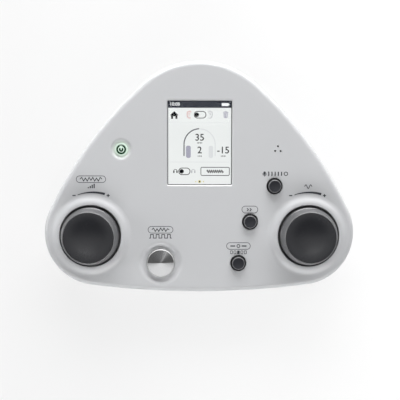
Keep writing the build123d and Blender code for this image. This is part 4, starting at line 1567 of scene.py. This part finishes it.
    def pane(self) -> None:
        """The clear pane, with its edges broken."""
        bpy.ops.object.select_all(action="DESELECT")
        bpy.ops.mesh.primitive_cube_add(size=1.0)
        pane = Bench.started("display_pane")
        pane.data.transform(Matrix.Diagonal((self.pane_width, self.pane_length, self.pane_thick, 1)))
        bpy.ops.object.mode_set(mode="EDIT")
        bpy.ops.mesh.select_all(action="SELECT")
        bpy.ops.mesh.bevel(offset=self.pane_bevel, segments=2)
        bpy.ops.object.mode_set(mode="OBJECT")
        height = self.pane_over - self.module_depth - self.pane_thick / 2
        place = Panel.matrix(up=self.window_up, height=height)
        Bench.put(pane, place, Palette.GLASS.value, self.body, "display_glass")
        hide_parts("touch_panel")


@dataclass
class PowerMark:
    """The ring and the sign on the glowing power button, which follow its low dome."""

    body: str = "power_key"
    slot: str = "button_green"
    across: float = -60.3
    up: float = 38.92
    face: float = -0.28
    dome_radius: float = 42.4
    ring_radius: float = 3.1
    ring_line: float = 1.35
    sign_radius: float = 1.1
    sign_line: float = 1.3
    sign_start: float = 122.0
    sign_end: float = 418.0
    sign_up: float = -0.1
    thick: float = 0.08

    def build(self) -> None:
        """Draws the ring and the broken ring."""
        ink = Drawing().ring(self.ring_radius, self.ring_line)
        inner = self.sign_radius - self.sign_line / 2
        ink.band(inner, self.sign_start, self.sign_end, self.sign_line, self.sign_line, (0, self.sign_up))
        mark = ink.solid("power_sign", self.thick, -self.thick / 2)
        for vertex in mark.data.vertices:
            vertex.co.z -= (vertex.co.x**2 + vertex.co.y**2) / (2 * self.dome_radius)
        place = Panel.matrix(self.across, self.up, self.face)
        Bench.put(mark, place, Palette.GREEN_INK.value, self.body, self.slot)


@dataclass
class RearMarks:
    """Colour rings at the rear sockets."""

    body: str = "case"
    slot: str = "plate_metal"
    ring_outer: float = 7.55
    ring_inner: float = 6.8
    ring_up: float = 15.5
    ring_steps: int = 64
    film: float = 0.1
    outer_socket: float = 30.2
    inner_socket: float = 14.8

    def build(self) -> None:
        """One colour ring to a socket."""
        turn = Matrix.Rotation(-math.pi / 2, 4, "X")
        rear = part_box("connector_plate")[1].y
        for name, across, finish in (
            ("left_phone_ring", -self.outer_socket, Palette.BLUE_MARK),
            ("right_phone_ring", -self.inner_socket, Palette.RED_MARK),
            ("bone_ring", self.inner_socket, Palette.GREY_MARK),
            ("response_ring", self.outer_socket, Palette.GREY_MARK),
        ):
            place = Matrix.Translation((across * MM, rear, self.ring_up * MM)) @ turn @ Matrix.Scale(MM, 4)
            Bench.put(self.ring(name), place, finish.value, self.body, self.slot)

    def ring(self, name: str) -> bpy.types.Object:
        """A thin flat ring about a nut.

        Args:
            name: The object's name.

        Returns:
            The new mesh object, drawn in millimetres.
        """
        bpy.ops.object.select_all(action="DESELECT")
        bpy.ops.mesh.primitive_circle_add(vertices=self.ring_steps, radius=self.ring_outer)
        ring = Bench.started(name)
        share = self.ring_inner / self.ring_outer
        bpy.ops.object.mode_set(mode="EDIT")
        bpy.ops.mesh.select_all(action="SELECT")
        bpy.ops.mesh.extrude_edges_move()
        bpy.ops.transform.resize(value=(share, share, 1))
        bpy.ops.mesh.select_all(action="SELECT")
        bpy.ops.mesh.extrude_region_move(TRANSFORM_OT_translate={"value": (0, 0, self.film)})
        bpy.ops.object.mode_set(mode="OBJECT")
        Bench.cleaned(ring)
        return ring


@dataclass(frozen=True)
class Softbox:
    """A rectangular lamp that faces a point, or a card that shows in gloss and lights nothing else."""

    name: str
    place: Point3
    aim: Point3
    width: float
    height: float
    watts: float
    card: bool = False

    def hang(self) -> None:
        """Hangs the lamp in the studio."""
        lamp = bpy.data.lights.new(self.name, "AREA")
        lamp.shape = "RECTANGLE"
        lamp.size, lamp.size_y, lamp.energy = self.width, self.height, self.watts
        stand = bpy.data.objects.new(self.name, lamp)
        bpy.context.scene.collection.objects.link(stand)
        Studio.face(stand, Vector(self.place), Vector(self.aim))
        stand.visible_camera = False
        stand.visible_diffuse = not self.card


@dataclass
class Studio:
    """The floor, the light and the camera, in metres."""

    lamps: tuple[Softbox, ...] = (
        Softbox("low_rear_softbox", (0, 1.30, 0.30), (0, 0.02, 0.03), width=1.4, height=0.25, watts=17.6),
        Softbox("rear_softbox", (0, 1.25, 0.60), (0, 0.02, 0.03), width=1.2, height=0.4, watts=17.6),
        Softbox("right_rear_softbox", (0.85, 0.85, 0.70), (0, 0.02, 0.03), width=0.7, height=0.4, watts=5.8),
        Softbox("left_softbox", (-1.30, 0, 0.35), (0, -0.02, 0.03), width=1.2, height=0.25, watts=6.8),
        Softbox("front_softbox", (0.05, -0.95, 0.55), (0, -0.05, 0.03), width=1.3, height=0.35, watts=9.2),
        Softbox("high_card", (0, 0.42, 1.15), (0, 0.42, 0), width=1.3, height=1.0, watts=0.8, card=True),
        Softbox("brow_card", (0, -0.21, 1.15), (0, -0.20, 0), width=1.3, height=0.26, watts=0.8, card=True),
        Softbox("strip_card", (0, 0.03, 1.14), (0, 0.03, 0), width=0.7, height=0.16, watts=0.8, card=True),
    )
    eye: Point3 = (-0.0117, -0.0317, 0.6739)
    aim: Point3 = (0.0003, -0.01803, 0.034)
    lens: float = 74.6
    sensor: float = 36.0
    nearest: float = 0.01
    floor_size: float = 8.0
    floor_glow: float = 0.8
    floor_roughness: float = 0.9
    floor_left: Colour = shade(245, 245, 245)
    floor_right: Colour = shade(255, 255, 255)
    floor_spread: float = 150.0
    horizon: Colour = (0.80, 0.82, 0.85)
    overhead: Colour = (0.19, 0.19, 0.193)
    overhead_from: float = 0.62
    ambient: float = 0.14

    def build(self) -> None:
        """Sets the studio up."""
        self.floor()
        self.sky()
        for lamp in self.lamps:
            lamp.hang()
        self.camera()

    def floor(self) -> None:
        """A plain pale floor, a little brighter to the right. The camera, gloss and glass see it glow."""
        bpy.ops.object.select_all(action="DESELECT")
        bpy.ops.mesh.primitive_plane_add(size=self.floor_size)
        floor = Bench.started("floor")
        graph = Graph(bpy.data.materials.new("floor_paper"))
        across = graph.offset(Vector(), RIGHT).within(-self.floor_spread, self.floor_spread)
        tint = graph.tint(across, self.floor_left, self.floor_right)
        paper = graph.node("ShaderNodeBsdfPrincipled", Base_Color=tint, Roughness=self.floor_roughness)
        glow = graph.node("ShaderNodeEmission", Color=tint, Strength=1.0)
        rays = graph.node("ShaderNodeLightPath").outputs
        seen = Signal(graph, rays["Is Camera Ray"]) + Signal(graph, rays["Is Glossy Ray"])
        seen = seen + Signal(graph, rays["Is Transmission Ray"])
        mix = graph.node(
            "ShaderNodeMixShader", i0=seen.within(0, 1) * self.floor_glow,
            i1=paper.outputs[0], i2=glow.outputs[0],
        )
        graph.node("ShaderNodeOutputMaterial", Surface=mix.outputs[0])
        floor.data.materials.append(graph.owner)

    def sky(self) -> None:
        """A pale surround that darkens overhead, as the gloss shows it, and lights the rest faintly."""
        graph = Graph(bpy.data.worlds.new("studio_world"))
        place = graph.node("ShaderNodeTexCoord").outputs["Generated"]
        height = Signal(graph, graph.node("ShaderNodeSeparateXYZ", Vector=place).outputs["Z"])
        climb = height.within(0.0, self.overhead_from).eased()
        diffuse = Signal(graph, graph.node("ShaderNodeLightPath").outputs["Is Diffuse Ray"])
        sky = graph.node(
            "ShaderNodeBackground",
            Color=graph.tint(climb, self.horizon, self.overhead),
            Strength=1.0 - diffuse * (1.0 - self.ambient),
        )
        graph.node("ShaderNodeOutputWorld", Surface=sky.outputs[0])
        bpy.context.scene.world = graph.owner

    @staticmethod
    def face(thing: bpy.types.Object, place: Vector, aim: Vector) -> None:
        """Stands a lamp or the camera at a place and turns it to a point, with the rear at its top.

        Args:
            thing: The lamp or the camera.
            place: Where it stands.
            aim: What it faces.
        """
        back = (place - aim).normalized()
        right = REAR.cross(back).normalized()
        turned = Matrix((right, back.cross(right), back)).transposed().to_4x4()
        thing.matrix_world = Matrix.Translation(place) @ turned

    def camera(self) -> None:
        """The camera, nearly straight above the face."""
        view = bpy.data.cameras.new("camera")
        view.lens, view.sensor_width, view.clip_start = self.lens, self.sensor, self.nearest
        stand = bpy.data.objects.new("camera", view)
        bpy.context.scene.collection.objects.link(stand)
        self.face(stand, Vector(self.eye), Vector(self.aim))
        bpy.context.scene.camera = stand


def main() -> None:
    """Builds and dresses the instrument, then sets the studio round it."""
    logging.basicConfig(level=logging.INFO, format="%(message)s")
    bpy.context.scene.view_settings.view_transform = "Standard"
    CaseFinish().dress()
    for section in (PanelPrint(), Display(), PowerMark(), RearMarks(), Studio()):
        section.build()
        log.info("%s is built", type(section).__name__)


if __name__ == "__main__":
    main()
